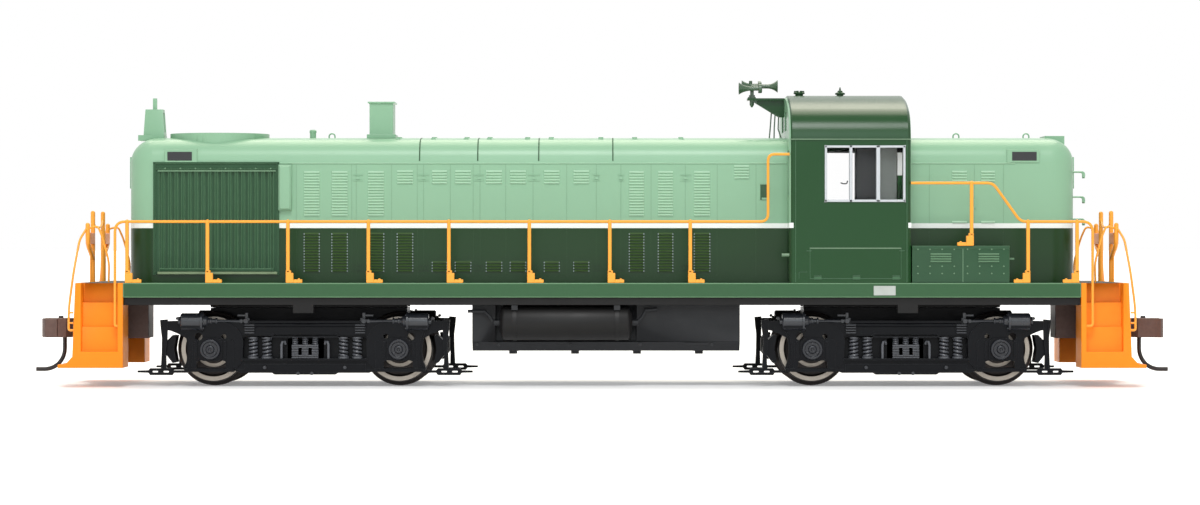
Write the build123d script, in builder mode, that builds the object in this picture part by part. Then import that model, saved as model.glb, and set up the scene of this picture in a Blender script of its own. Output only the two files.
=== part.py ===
"""HO scale (1:87) model of a four-axle road-switcher diesel locomotive.

Millimetres. X runs along the track with the cab nearer +X, Y across it and Z up from the
lowest points of the wheel flanges. X = 0 is halfway between the two couplers.
Both ends and both sides are alike unless a name says otherwise; "rear" is the -X end.
"""
from build123d import *
import os

# ---------------------------------------------------------------- wheels and axles
tread_diameter = 11.66
flange_height = 0.7
flange_width = 0.8
wheel_width = 2.8
wheel_back_to_back = 14.4
axle_diameter = 2.4
axle_clearance = 0.05
wheelbase = 32.66
truck_insets = {"rear": 31.2, "front": 30.0}

wheel_radius = tread_diameter / 2 + flange_height
axle_height = wheel_radius
wheel_inner = wheel_back_to_back / 2
wheel_outer = wheel_inner + wheel_width
axle_offsets = (-wheelbase / 2, wheelbase / 2)

# ---------------------------------------------------------------- deck and underframe
deck_top = 18.15
deck_thickness = 1.0
sill_height = 2.53
sill_half_length = 83.1
sill_half_width = 17.5
sill_width = 1.4
underframe_thickness = 1.32
underframe_inset = 0.8
weight_from_hood_end = 24.15
weight_from_cab = 3.5
weight_half_width = 8.2
weight_height = 20.4
weight_clearance = 0.3
jack_pad_width = 3.6
jack_pad_depth = 1.4
jack_pad_height = 1.4
bolster_half_width = 5.6
bolster_height = 0.4
bolster_gap = 0.3

truck_places = {"rear": truck_insets["rear"] - sill_half_length,
                "front": sill_half_length - truck_insets["front"]}
sill_bottom = deck_top - sill_height
underframe_bottom = sill_bottom - underframe_thickness
underframe_half_width = sill_half_width - underframe_inset

# ---------------------------------------------------------------- hoods
hood_half_width = 10.75
hood_overhang = 0.05
hood_shoulder = 39.2
hood_shoulder_radius = 4.2
hood_crest = 43.8
hood_end_radius = hood_shoulder_radius
hood_wall = 1.2
hood_end_wall = 3.0
shutter_from_end = 4.65
shutter_length = 21.7
shutter_height = (19.7, 39.06)
shutter_recess = 0.7
shutter_frame = 0.9
shutter_panel = 0.3
shutter_slats = 17
slat_width = 0.55
shutter_ledge = 0.5
duct_gap = 0.1
duct_length = 2.3
duct_height = (30.8, 38.8)
duct_depth = 1.0
fan_from_end = 14.95
shroud_diameter = 17.6
shroud_wall = 0.8
shroud_height = 0.7
grille_bar = 0.4
grille_spokes = 10
fan_hub_diameter = 3.2
fan_hub_height = 2.2
fan_blades = 6
blade_width = 2.4
blade_thickness = 0.3
blade_pitch = 25
blade_clearance = 0.5

hood_half_length = sill_half_length + hood_overhang
shutter_span = (shutter_from_end - hood_half_length,
                shutter_from_end + shutter_length - hood_half_length)
fan_place = fan_from_end - hood_half_length

# ---------------------------------------------------------------- cab
cab_rear = 32.5
cab_front = 53.6
cab_half_width = 17.5
cab_eave = 43.0
cab_shoulder_radius = 6.0
cab_crest = 51.35
cab_wall = 1.0
cab_edge = 0.5
window_from_front = 1.0
window_length = 14.0
window_sill = 32.2
window_tall = 9.8
window_frame = 0.6
window_proud = 0.25
window_panes = 3
mullion_width = 0.9
glass_thickness = 0.4
end_window_half_width = 1.9
end_window_place = 14.2
end_window_height = (33.4, 41.2)
top_window_place = 4.6
top_window_half_width = 3.0
top_window_sill = 1.9
top_window_tall = 3.4
seat_from_rear = 4.2
seat_place = 11.0
seat_size = 4.6
seat_height = 8.85
seat_back_height = 6.0
cabinet_gap = 1.1
cabinet_depth = 3.8
cabinet_half_width = 13.0
cabinet_height = 24.0
locker_depth = 3.3
locker_half_width = 11.0

# ---------------------------------------------------------------- couplers and pilots
coupler_height = 10.0
pivot_from_sill = 1.4
coupler_pin_diameter = 1.4
coupler_clearance = 0.05
coupler_eye_diameter = 3.0
coupler_box_length = 11.9
coupler_box_proud = 2.0
coupler_box_half_width = 3.4
coupler_box_height = 3.6
coupler_slot_half_width = 2.7
coupler_slot_height = 1.4
coupler_slot_behind = 2.1
shank_width = 1.7
shank_height = 1.1
head_height = 3.4
coupler_face_from_pilot = 9.4
trip_pin_diameter = 0.8
trip_pin_behind_face = 3.9
trip_pin_reach = 5.2
trip_pin_rise = 2.0
trip_pin_run = 2.2
trip_pin_bends = (1.8, 1.5)
trip_pin_foot = 2.6
step_well = 7.3
pilot_slope = 0.6
pilot_thickness = 0.95
pilot_bottom = 3.4
pilot_opening_half_width = 4.0
pilot_opening_height = (7.4, 12.6)
stringer_width = 0.9
step_inner = 10.7
step_rise = 4.25
step_depth = 3.2
step_growth = 0.9
tread_share = 0.8
footboard_depth = 4.0
footboard_thickness = 0.6
footboard_span = (5.5, 17.5)
gusset_width = 0.8
gusset_height = 1.9

pilot_back = sill_half_length + step_well
footboard_reach = pilot_back + footboard_depth
coupler_pivot = sill_half_length + pivot_from_sill
coupler_box_span = (pilot_back + coupler_box_proud - coupler_box_length,
                    pilot_back + coupler_box_proud)
coupler_slot_start = coupler_pivot - coupler_slot_behind
coupler_face = pilot_back + coupler_face_from_pilot
trip_pin_place = coupler_face - trip_pin_behind_face

# ---------------------------------------------------------------- railings
wire_diameter = 0.5
wire_sides = 6
rail_plane = 17.15
rail_height = 28.8
rail_foot = 10.7
rear_wire_from_sill = 1.4
front_wire_from_sill = 2.0
rear_bends = (0.3, 1.8, 1.2, 1.2)
front_bends = (1.0, 1.0, 1.8, 0.5)
grab_from_cab = 3.7
grab_height = 40.5
nose_rail_height = 35.5
nose_rail_level = 14.2
nose_rail_slope = 4.8
stanchion_width = 0.75
stanchion_depth = 0.6
stanchion_base = 1.2
stanchion_base_height = 2.3
stanchion_foot = 2.6
stanchion_foot_height = 0.7
stanchion_step = 0.2
stanchion_from_end = 0.7
stanchion_from_grab = 13.5
rear_stanchions = 8
battery_stanchion_from_cab = 10.5
nose_stanchion_from_end = 9.2
post_diameter = 0.8
post_from_pilot = 0.4
tall_post = (6.0, 12.6)
short_post = (12.0, 10.2)
end_plate_height = (6.75, 8.75)
end_plate_thickness = 0.5
grab_wire_diameter = 0.4
grab_wire_reach = 2.2
grab_wire_lean = 1.6
grab_wire_tuck = 0.5
grab_wire_knee = (0.8, -4.5)
grab_wire_bends = (2.0, 1.5, 0.3)
short_post_bend = 1.5
chain_bend = 1.0
grab_wire_foot = 9.9
chain_drop = 1.3
short_post_root = 4.1

post_place = pilot_back - post_from_pilot
rear_wire = -sill_half_length - rear_wire_from_sill
front_wire = sill_half_length + front_wire_from_sill
grab_place = cab_rear - grab_from_cab
nose_rail_bend = cab_front + nose_rail_level
nose_rail_foot = nose_rail_bend + nose_rail_slope

# ---------------------------------------------------------------- truck frames
frame_inner = 11.5
frame_thickness = 2.0
# Half a side frame's outline: (X from the axle, Z), from its top to its bottom.
pedestal_outline = ((3.0, 11.5), (5.07, 10.3), (4.17, 6.5), (4.87, 3.0), (-3.4, 3.0),
                    (-5.2, 2.35))
# Half of the window between the axles: (X from the middle, Z), from its bottom to its top.
window_outline = ((10.85, 4.9), (10.85, 8.6), (6.1, 8.6), (5.3, 9.1))
hole_places = (1.9, -2.4)
hole_height = 8.9
hole_radius = 0.75
slot_place = (0.25, 3.9)
slot_size = (5.0, 1.5)
gearbox_half_width = 5.0
gearbox_half_length = 17.4
gearbox_bottom = 3.6
kingpin_diameter = 5.0
kingpin_clearance = 0.05
journal_radius = 1.78
journal_proud = 1.2
journal_block_margin = 0.5
journal_block_proud = 0.4
rigging_inset = 0.4
coil_places = (6.8, 9.1)
coil_radius = 1.0
coil_turns = 3
coil_waist = 0.65
coil_depth = 1.4
leaf_places = (-1.95, 0, 1.95)
leaf_half_width = 0.75
leaf_waist = 0.6
leaf_turns = 3
leaf_depth = 1.2
spring_recess = 0.3
hanger_bar_place = 4.1
hanger_bar_width = 0.6
cylinder_span = (17.9, 22.1)
cylinder_radius = 1.55
cylinder_sides = 16
push_rod_span = (10.5, 17.9)
push_rod_thickness = 0.6
clevis_places = (10.9, 16.7)
clevis_size = (1.2, 1.2, 1.0)
hanger_span = (24.0, 25.3)
hanger_arm_span = (21.5, 24.0)
hanger_arm_height = (10.2, 11.6)
shoe_span = (23.2, 24.2)
shoe_height = (4.4, 8.7)
brake_rod_span = (20.2, 29.3)
brake_rod_height = (2.1, 3.1)
brake_rod_inset = 0.6
lug_half_length = 3.2
lug_height = (4.9, 8.4)
lug_plate = (0.4, (4.4, 9.4))

frame_face = frame_inner + frame_thickness
gearbox_top = underframe_bottom - bolster_height - bolster_gap

os.makedirs("parts", exist_ok=True)
pieces = {}


def block(x, y, z, mode=Mode.ADD):
    """A box from its three spans, each written as (low, high)."""
    with Locations((sum(x) / 2, sum(y) / 2, sum(z) / 2)):
        Box(x[1] - x[0], y[1] - y[0], z[1] - z[0], mode=mode)


def both_ends(low, high):
    """The spans (low, high) and (-high, -low)."""
    return ((low, high), (-high, -low))


def arch_section(plane, half_width, base, shoulder, shoulder_radius, crest):
    """Upright sides, round shoulders and a shallow crown that meets them smoothly."""
    side = half_width - shoulder_radius
    rise = crest - shoulder
    crown_radius = (side**2 + rise**2 - shoulder_radius**2) / (2 * (rise - shoulder_radius))
    crown_centre = crest - crown_radius
    away = Vector(side, shoulder - crown_centre).normalized()
    joint = Vector(side, shoulder) + away * shoulder_radius
    halfway = (away + Vector(1, 0)).normalized()
    bulge = Vector(side, shoulder) + halfway * shoulder_radius
    with BuildSketch(plane) as section:
        with BuildLine():
            Polyline((-half_width, shoulder), (-half_width, base), (half_width, base),
                     (half_width, shoulder))
            ThreePointArc((half_width, shoulder), (bulge.X, bulge.Y), (joint.X, joint.Y))
            ThreePointArc((joint.X, joint.Y), (0, crest), (-joint.X, joint.Y))
            ThreePointArc((-joint.X, joint.Y), (-bulge.X, bulge.Y), (-half_width, shoulder))
        make_face()
    return section.sketch


def arch_block(span, inset, size, shaped_ends=(), shape=fillet, amount=0):
    """The filled form of a hood or cab, shrunk by inset; its ends -1 or 1 may be shaped."""
    half_width, shoulder, shoulder_radius, crest = size
    with BuildPart() as form:
        extrude(arch_section(Plane.YZ.offset(span[0]), half_width - inset, deck_top - inset,
                             shoulder, shoulder_radius - inset, crest - inset),
                amount=span[1] - span[0])
        for end in shaped_ends:
            face = form.faces().sort_by(Axis.X)[0 if end < 0 else -1]
            shape(face.edges().filter_by(lambda edge: edge.center().Z > deck_top), amount)
    return form.part


def bent_wire(points, bends, diameter):
    """A wire of six flats through 3-D points; each inner corner is cut by its bend length."""
    points = [Vector(*point) for point in points]
    route = [points[0]]
    for before, corner, after, bend in zip(points, points[1:], points[2:], bends):
        for neighbour in (before, after):
            route.append(corner + (neighbour - corner).normalized() * bend)
    route.append(points[-1])
    with BuildPart() as wire:
        with BuildLine() as path:
            Polyline(*route)
        with BuildSketch(Plane(origin=path.line @ 0, z_dir=path.line % 0)):
            RegularPolygon(diameter / 2, wire_sides)
        sweep(transition=Transition.RIGHT)
    return wire.part


hood_size = (hood_half_width, hood_shoulder, hood_shoulder_radius, hood_crest)
cab_size = (cab_half_width, cab_eave, cab_shoulder_radius, cab_crest)
long_hood_form = arch_block((-hood_half_length, cab_rear), 0, hood_size, (-1,), fillet,
                            hood_end_radius)
short_hood_form = arch_block((cab_front, hood_half_length), 0, hood_size, (1,), fillet,
                             hood_end_radius)
cab_form = arch_block((cab_rear, cab_front), 0, cab_size, (-1, 1), chamfer, cab_edge)

# ================================================================ underframe and deck
with BuildPart() as chassis:
    block((-sill_half_length, sill_half_length),
          (-underframe_half_width, underframe_half_width), (underframe_bottom, sill_bottom))
    for place in truck_places.values():
        for pad in both_ends(underframe_half_width - jack_pad_depth, underframe_half_width):
            block((place - jack_pad_width / 2, place + jack_pad_width / 2), pad,
                  (underframe_bottom - jack_pad_height, underframe_bottom))
        block((place - gearbox_half_length, place + gearbox_half_length),
              (-bolster_half_width, bolster_half_width),
              (underframe_bottom - bolster_height, underframe_bottom))
        with Locations((place, 0, sill_bottom)):
            Cylinder(kingpin_diameter / 2 + kingpin_clearance, sill_bottom,
                     mode=Mode.SUBTRACT)
pieces["chassis"] = chassis.part

weight_span = (weight_from_hood_end - hood_half_length, cab_rear - weight_from_cab)
with BuildPart() as weight_block:
    block(weight_span, (-weight_half_width, weight_half_width),
          (sill_bottom, sill_bottom + weight_height))
pieces["weight_block"] = weight_block.part

with BuildPart() as walkway:
    block((-sill_half_length, sill_half_length), (-sill_half_width, sill_half_width),
          (deck_top - deck_thickness, deck_top))
    block((-pilot_back, pilot_back), (-step_inner, step_inner),
          (deck_top - deck_thickness, deck_top))
    for side in both_ends(sill_half_width - sill_width, sill_half_width):
        block((-sill_half_length, sill_half_length), side, (sill_bottom, deck_top))
    block((weight_span[0] - weight_clearance, weight_span[1] + weight_clearance),
          (-weight_half_width - weight_clearance, weight_half_width + weight_clearance),
          (sill_bottom, deck_top), mode=Mode.SUBTRACT)
pieces["walkway"] = walkway.part

# ================================================================ hoods
shroud_inner = shroud_diameter / 2 - shroud_wall
with BuildPart() as long_hood:
    add(long_hood_form)
    add(arch_block((-hood_half_length + hood_end_wall, cab_rear - hood_wall), hood_wall,
                   hood_size), mode=Mode.SUBTRACT)
    for recess in both_ends(hood_half_width - shutter_recess, hood_half_width):
        block(shutter_span, recess, shutter_height, mode=Mode.SUBTRACT)
    with Locations((fan_place, 0, hood_crest)):
        Cylinder(shroud_inner, hood_crest - hood_shoulder, mode=Mode.SUBTRACT)
pieces["long_hood"] = long_hood.part

with BuildPart() as short_hood:
    add(short_hood_form)
    add(arch_block((cab_front + hood_wall, hood_half_length - hood_end_wall), hood_wall,
                   hood_size), mode=Mode.SUBTRACT)
pieces["short_hood"] = short_hood.part

with BuildPart() as radiator_shutters:
    back = hood_half_width - shutter_recess
    slats_span = (shutter_span[0] + shutter_frame, shutter_span[1] - shutter_frame)
    slats_height = (shutter_height[0] + shutter_frame, shutter_height[1] - shutter_frame)
    pitch = (slats_span[1] - slats_span[0]) / shutter_slats
    block(shutter_span, (back, hood_half_width), shutter_height)
    block(slats_span, (back + shutter_panel, hood_half_width), slats_height,
          mode=Mode.SUBTRACT)
    with Locations((sum(slats_span) / 2, (back + shutter_panel + hood_half_width) / 2,
                    sum(slats_height) / 2)):
        with GridLocations(pitch, 1, shutter_slats, 1):
            Box(slat_width, hood_half_width - back - shutter_panel,
                slats_height[1] - slats_height[0])
    block(slats_span, (hood_half_width, hood_half_width + shutter_ledge),
          (slats_height[0] - shutter_ledge, slats_height[0]))
    mirror(about=Plane.XZ)
pieces["radiator_shutters"] = radiator_shutters.part

with BuildPart() as radiator_ducts:
    duct_start = shutter_span[1] + duct_gap
    block((duct_start, duct_start + duct_length),
          (hood_half_width, hood_half_width + duct_depth), duct_height)
    chamfer(radiator_ducts.faces().sort_by(Axis.Y)[-1].edges(), length=duct_depth / 3)
    mirror(about=Plane.XZ)
pieces["radiator_ducts"] = radiator_ducts.part

shroud_top = hood_crest + shroud_height
with BuildPart() as fan_shroud:
    with Locations((fan_place, 0, (shroud_top + hood_shoulder) / 2)):
        Cylinder(shroud_diameter / 2, shroud_top - hood_shoulder)
        Cylinder(shroud_inner, shroud_top - hood_shoulder, mode=Mode.SUBTRACT)
    add(long_hood_form, mode=Mode.SUBTRACT)
    with Locations((fan_place, 0, shroud_top - grille_bar)):
        Cylinder(fan_hub_diameter / 2, grille_bar)
        with PolarLocations((shroud_inner + fan_hub_diameter / 2) / 2, grille_spokes):
            Box(shroud_inner - fan_hub_diameter / 2 + grille_bar, grille_bar, grille_bar)
pieces["fan_shroud"] = fan_shroud.part

with BuildPart() as radiator_fan:
    hub_top = shroud_top - grille_bar - grille_bar / 2
    blade_reach = shroud_inner - blade_clearance
    with Locations((fan_place, 0, hub_top - fan_hub_height / 2)):
        Box(fan_hub_diameter, fan_hub_diameter, fan_hub_height)
        with PolarLocations(blade_reach / 2, fan_blades):
            Box(blade_reach, blade_width, blade_thickness, rotation=(blade_pitch, 0, 0))
pieces["radiator_fan"] = radiator_fan.part

# ================================================================ cab
window_span = (cab_front - window_from_front - window_length, cab_front - window_from_front)
window_heights = (window_sill, window_sill + window_tall)
top_window_span = (cab_eave + top_window_sill, cab_eave + top_window_sill + top_window_tall)
with BuildPart() as cab:
    add(cab_form)
    add(arch_block((cab_rear + cab_wall, cab_front - cab_wall), cab_wall, cab_size),
        mode=Mode.SUBTRACT)
    block(window_span, (-cab_half_width, cab_half_width), window_heights, mode=Mode.SUBTRACT)
    for place, half_width, height in ((end_window_place, end_window_half_width,
                                       end_window_height),
                                      (top_window_place, top_window_half_width,
                                       top_window_span)):
        for across in both_ends(place - half_width, place + half_width):
            block((cab_rear, cab_front), across, height, mode=Mode.SUBTRACT)
eave = Plane.XY.offset(cab_eave)
pieces["cab_walls"] = split(cab.part, bisect_by=eave, keep=Keep.BOTTOM)
pieces["cab_roof"] = split(cab.part, bisect_by=eave, keep=Keep.TOP)

# Equal panes between mullions, inside a frame that stands a little proud of the wall.
pane_heights = (window_heights[0] + window_frame, window_heights[1] - window_frame)
mullions = [window_span[0] + window_length * count / window_panes
            for count in range(1, window_panes)]
pane_edges = [window_span[0] + window_frame]
for place in mullions:
    pane_edges += [place - mullion_width / 2, place + mullion_width / 2]
pane_edges.append(window_span[1] - window_frame)
panes = list(zip(pane_edges[0::2], pane_edges[1::2]))
with BuildPart() as window_frames:
    frame_depth = (cab_half_width - cab_wall, cab_half_width + window_proud)
    block(window_span, frame_depth, window_heights)
    for pane in panes:
        block(pane, frame_depth, pane_heights, mode=Mode.SUBTRACT)
    mirror(about=Plane.XZ)
pieces["window_frames"] = window_frames.part

with BuildPart() as cab_glass:
    glass_back = cab_half_width - (cab_wall + glass_thickness) / 2
    for pane in panes:
        block(pane, (glass_back, glass_back + glass_thickness), pane_heights)
    for end in (cab_rear + cab_wall / 2, cab_front - cab_wall / 2):
        depth = (end - glass_thickness / 2, end + glass_thickness / 2)
        for place, half_width, height in ((end_window_place, end_window_half_width,
                                           end_window_height),
                                          (top_window_place, top_window_half_width,
                                           top_window_span)):
            block(depth, (place - half_width, place + half_width), height)
    mirror(about=Plane.XZ)
pieces["cab_glass"] = cab_glass.part

with BuildPart() as cab_interior:
    seat_start = cab_rear + seat_from_rear
    seat_top = deck_top + seat_height
    with BuildSketch(Plane.XZ.offset(seat_size / 2 - seat_place)):
        with BuildLine():
            Polyline((seat_start, deck_top), (seat_start + seat_size, deck_top),
                     (seat_start + seat_size, seat_top),
                     (seat_start + cab_wall, seat_top),
                     (seat_start + cab_wall, seat_top + seat_back_height),
                     (seat_start, seat_top + seat_back_height), close=True)
        make_face()
    extrude(amount=-seat_size)
    mirror(about=Plane.XZ)
pieces["cab_interior"] = cab_interior.part

# The tall electrical cabinet across the cab, with a lower-set locker on its front.
with BuildPart() as cab_cabinets:
    cabinet_front = cab_front - cab_wall - cabinet_gap
    block((cabinet_front - locker_depth - cabinet_depth, cabinet_front - locker_depth),
          (-cabinet_half_width, cabinet_half_width), (deck_top, deck_top + cabinet_height))
    block((cabinet_front - locker_depth, cabinet_front),
          (-locker_half_width, locker_half_width), (deck_top, deck_top + cabinet_height))
pieces["cab_cabinets"] = cab_cabinets.part

# ================================================================ roof fittings
stack_place = -39.2
stack_length = 4.2
stack_width = 6.4
stack_wall = 0.5
stack_height = 6.4
stack_bore_depth = 3.0
stack_lip = 0.3
stack_flange = 0.45
stack_flange_height = 0.6
with BuildPart() as exhaust_stack:
    # Rows: from height, to height (above the crest), and how far it stands out of the duct.
    for low, high, out in ((hood_shoulder - hood_crest, stack_flange_height, stack_flange),
                           (stack_flange_height, stack_height - stack_lip, 0),
                           (stack_height - stack_lip, stack_height, stack_lip)):
        block((stack_place - stack_length / 2 - out, stack_place + stack_length / 2 + out),
              (-stack_width / 2 - out, stack_width / 2 + out),
              (hood_crest + low, hood_crest + high))
    block((stack_place - stack_length / 2 + stack_wall,
           stack_place + stack_length / 2 - stack_wall),
          (-stack_width / 2 + stack_wall, stack_width / 2 - stack_wall),
          (hood_crest + stack_height - stack_bore_depth, hood_crest + stack_height),
          mode=Mode.SUBTRACT)
    add(long_hood_form, mode=Mode.SUBTRACT)
pieces["exhaust_stack"] = exhaust_stack.part

board_from_end = (6.45, 12.15)
board_height = (39.2, 41.55)
board_proud = 0.2
with BuildPart() as number_boards:
    for board in both_ends(hood_half_length - board_from_end[1],
                           hood_half_length - board_from_end[0]):
        block(board, (hood_half_width / 2, hood_half_width + board_proud), board_height)
    mirror(about=Plane.XZ)
    add(long_hood_form, mode=Mode.SUBTRACT)
    add(short_hood_form, mode=Mode.SUBTRACT)
pieces["number_boards"] = number_boards.part

# Bell casing on the long hood's end: a foot, a tapered body and a spike.
bell_from_end = 3.35
bell_length = 3.7
bell_width = 3.2
bell_foot = 0.45
bell_foot_height = 0.5
bell_height = 5.1
bell_taper = 0.6
bell_slot_width = 1.6
bell_slot_depth = 0.6
spike_diameter = 0.7
spike_height = 2.0
bell_place = bell_from_end - hood_half_length
with BuildPart() as bell:
    foot_top = hood_crest + bell_foot_height
    bell_top = hood_crest + bell_height
    block((bell_place - bell_length / 2 - 2 * bell_foot, bell_place + bell_length / 2),
          (-bell_width / 2 - bell_foot, bell_width / 2 + bell_foot),
          (hood_crest - bell_foot_height, foot_top))
    for height, shrink in ((foot_top, 0), (bell_top, bell_taper)):
        with BuildSketch(Plane.XY.offset(height)):
            with Locations((bell_place, 0)):
                Rectangle(bell_length - shrink, bell_width - shrink)
    loft(ruled=True)
    block((bell_place + bell_length / 2 - bell_slot_depth, bell_place + bell_length / 2),
          (-bell_slot_width / 2, bell_slot_width / 2),
          (foot_top + bell_taper, bell_top - bell_taper), mode=Mode.SUBTRACT)
    block((bell_place - spike_diameter / 2, bell_place + spike_diameter / 2),
          (-spike_diameter / 2, spike_diameter / 2), (bell_top, bell_top + spike_height))
    add(long_hood_form, mode=Mode.SUBTRACT)
pieces["bell"] = bell.part

# Twin lamps in one upright housing at the middle of each hood end.
lamp_radius = 1.0
lamp_spread = 1.25
lamp_height = 37.6
lamp_housing = (1.6, 5.6, 0.9)
with BuildPart() as headlights:
    half_width, tall, proud = lamp_housing
    block((hood_half_length, hood_half_length + proud), (-half_width, half_width),
          (lamp_height - tall / 2, lamp_height + tall / 2))
    with BuildSketch(Plane.YZ.offset(hood_half_length + proud)):
        with Locations((0, lamp_height - lamp_spread), (0, lamp_height + lamp_spread)):
            RegularPolygon(lamp_radius, 12)
    extrude(amount=-proud / 2, mode=Mode.SUBTRACT)
    mirror(about=Plane.YZ)
pieces["headlights"] = headlights.part

with BuildPart() as headlight_lenses:
    with BuildSketch(Plane.YZ.offset(hood_half_length + proud / 2)):
        with Locations((0, lamp_height - lamp_spread), (0, lamp_height + lamp_spread)):
            RegularPolygon(lamp_radius, 12)
    extrude(amount=proud / 4)
    mirror(about=Plane.YZ)
pieces["headlight_lenses"] = headlight_lenses.part

# Visor across the short hood's end, on its roof.
visor_from_end = (4.55, 1.05)
visor_half_width = 3.4
visor_height = 0.3
with BuildPart() as visor:
    block((hood_half_length - visor_from_end[0], hood_half_length - visor_from_end[1]),
          (-visor_half_width, visor_half_width),
          (hood_shoulder, hood_crest + visor_height))
    add(short_hood_form, mode=Mode.SUBTRACT)
pieces["visor"] = visor.part

lift_eye_places = (-48.2, 63.2, 75.7)
lift_eye_size = (0.9, 0.4, 0.6)
with BuildPart() as lift_eyes:
    for place in lift_eye_places:
        length, width, height = lift_eye_size
        block((place - length / 2, place + length / 2), (-width / 2, width / 2),
              (hood_crest - height, hood_crest + height))
    add(long_hood_form, mode=Mode.SUBTRACT)
    add(short_hood_form, mode=Mode.SUBTRACT)
pieces["lift_eyes"] = lift_eyes.part

# Vent caps on the cab roof, rows: (X, half length, half width, height above the crest).
cab_vents = ((35.2, 1.0, 0.9, 0.9), (42.5, 0.9, 0.9, 0.8))
vent_spike = (0.5, 0.8)
with BuildPart() as cab_vent_caps:
    for place, half_length, half_width, height in cab_vents:
        block((place - half_length, place + half_length), (-half_width, half_width),
              (cab_crest - height, cab_crest + height))
    place, _, _, height = cab_vents[-1]
    width, spike = vent_spike
    block((place - width / 2, place + width / 2), (-width / 2, width / 2),
          (cab_crest + height, cab_crest + height + spike))
    add(cab_form, mode=Mode.SUBTRACT)
pieces["cab_vent_caps"] = cab_vent_caps.part

# ================================================================ horn
bracket_length = 6.6
bracket_top = 50.9
bracket_depth = 3.4
bracket_thickness = 0.8
bracket_half_width = 1.2
bracket_foot = 1.0
horn_post_from_tip = 1.1
horn_post_size = 1.0
horn_rise = 2.1
horn_bell_diameter = 2.3
horn_throat = 0.8
horn_neck = 1.4
horn_flare = 0.45
horn_sides = 12
horn_yoke = (1.3, 3.0, 0.9)
# Rows: the bell mouth's reach from the post (its sign is the way it faces), Y, height.
trumpets = ((-2.7, -1.1, -0.2), (-2.0, 1.1, 0.2), (4.4, 0.0, 0.0))
bracket_tip = cab_rear - bracket_length
horn_post = bracket_tip + horn_post_from_tip
with BuildPart() as horn_bracket:
    with BuildSketch(Plane.XZ.offset(-bracket_thickness / 2)):
        with BuildLine():
            inside = cab_rear + cab_edge
            Polyline((bracket_tip, bracket_top), (inside, bracket_top),
                     (inside, bracket_top - bracket_depth),
                     (cab_rear - bracket_foot, bracket_top - bracket_depth), close=True)
        make_face()
    extrude(amount=bracket_thickness)
    block((bracket_tip, cab_rear), (-bracket_half_width, bracket_half_width),
          (bracket_top - bracket_thickness / 2, bracket_top))
    add(cab_form, mode=Mode.SUBTRACT)
pieces["horn_bracket"] = horn_bracket.part

with BuildPart() as horn:
    horn_height = bracket_top + horn_rise
    with Locations((horn_post, 0, (bracket_top + horn_height) / 2)):
        Box(horn_post_size, horn_post_size, horn_rise)
    with Locations((horn_post, 0, horn_height)):
        Box(*horn_yoke)
    for reach, across, above in trumpets:
        way = 1 if reach > 0 else -1
        for start, end, width in ((0, abs(reach), horn_throat),
                                  (abs(reach) - 2 * horn_flare, abs(reach), horn_neck),
                                  (abs(reach) - horn_flare, abs(reach), horn_bell_diameter)):
            with BuildSketch(Plane(origin=(horn_post + way * start, across,
                                           horn_height + above),
                                   x_dir=(0, 1, 0), z_dir=(way, 0, 0))):
                RegularPolygon(width / 2, horn_sides)
            extrude(amount=end - start)
pieces["horn"] = horn.part

# ================================================================ battery boxes
battery_gap = 0.2
battery_length = 16.9
battery_depth = 6.45
battery_height = 6.45
battery_lid = 0.5
battery_lip = 0.15
with BuildPart() as battery_boxes:
    battery_span = (cab_front + battery_gap, cab_front + battery_gap + battery_length)
    battery_top = deck_top + battery_height
    battery_outer = hood_half_width + battery_depth
    block(battery_span, (hood_half_width, battery_outer - battery_lip),
          (deck_top, battery_top))
    block(battery_span, (hood_half_width, battery_outer),
          (battery_top - battery_lid, battery_top))
    mirror(about=Plane.XZ)
pieces["battery_boxes"] = battery_boxes.part

# ================================================================ tank and reservoirs
tank_from_trucks = {"rear": 29.2, "front": 29.0}
tank_half_width = 12.5
tank_bottom = 6.2
tank_corner = 1.6
tank_shelf = 7.9
tank_feet = 4
tank_foot_from_end = 7.05
tank_foot = (1.4, 2.0, 0.6)
tank_feet_spread = 16.0
reservoir_from_tank = 4.8
reservoir_length = 23.2
reservoir_radius = 3.05
reservoir_place = (14.0, 11.2)
reservoir_dome = 0.7
reservoir_sides = 28
reservoir_clearance = 0.05
saddle_from_end = 2.7
saddle_width = 1.4
tank_span = (truck_places["rear"] + tank_from_trucks["rear"],
             truck_places["front"] - tank_from_trucks["front"])
tank_foot_pitch = (tank_span[1] - tank_span[0] - 2 * tank_foot_from_end) / (tank_feet - 1)
reservoir_start = tank_span[0] + reservoir_from_tank
reservoir_span = (reservoir_start, reservoir_start + reservoir_length)
saddle_places = (reservoir_span[0] + saddle_from_end, reservoir_span[1] - saddle_from_end)
tank_recess = reservoir_place[0] - reservoir_radius - reservoir_clearance
with BuildPart() as fuel_tank:
    block(tank_span, (-tank_half_width, tank_half_width), (tank_bottom, underframe_bottom))
    bottom = fuel_tank.faces().sort_by(Axis.Z)[0]
    chamfer(bottom.edges().filter_by(Axis.X), length=tank_corner)
    for side in both_ends(tank_recess, sill_half_width):
        block((reservoir_span[0] - reservoir_dome, reservoir_span[1] + reservoir_dome),
              side, (tank_shelf, underframe_bottom), mode=Mode.SUBTRACT)
    with Locations((sum(tank_span) / 2, 0, tank_bottom - tank_foot[2] / 2)):
        with GridLocations(tank_foot_pitch, tank_feet_spread, tank_feet, 2):
            Box(*tank_foot)
pieces["fuel_tank"] = fuel_tank.part

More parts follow.
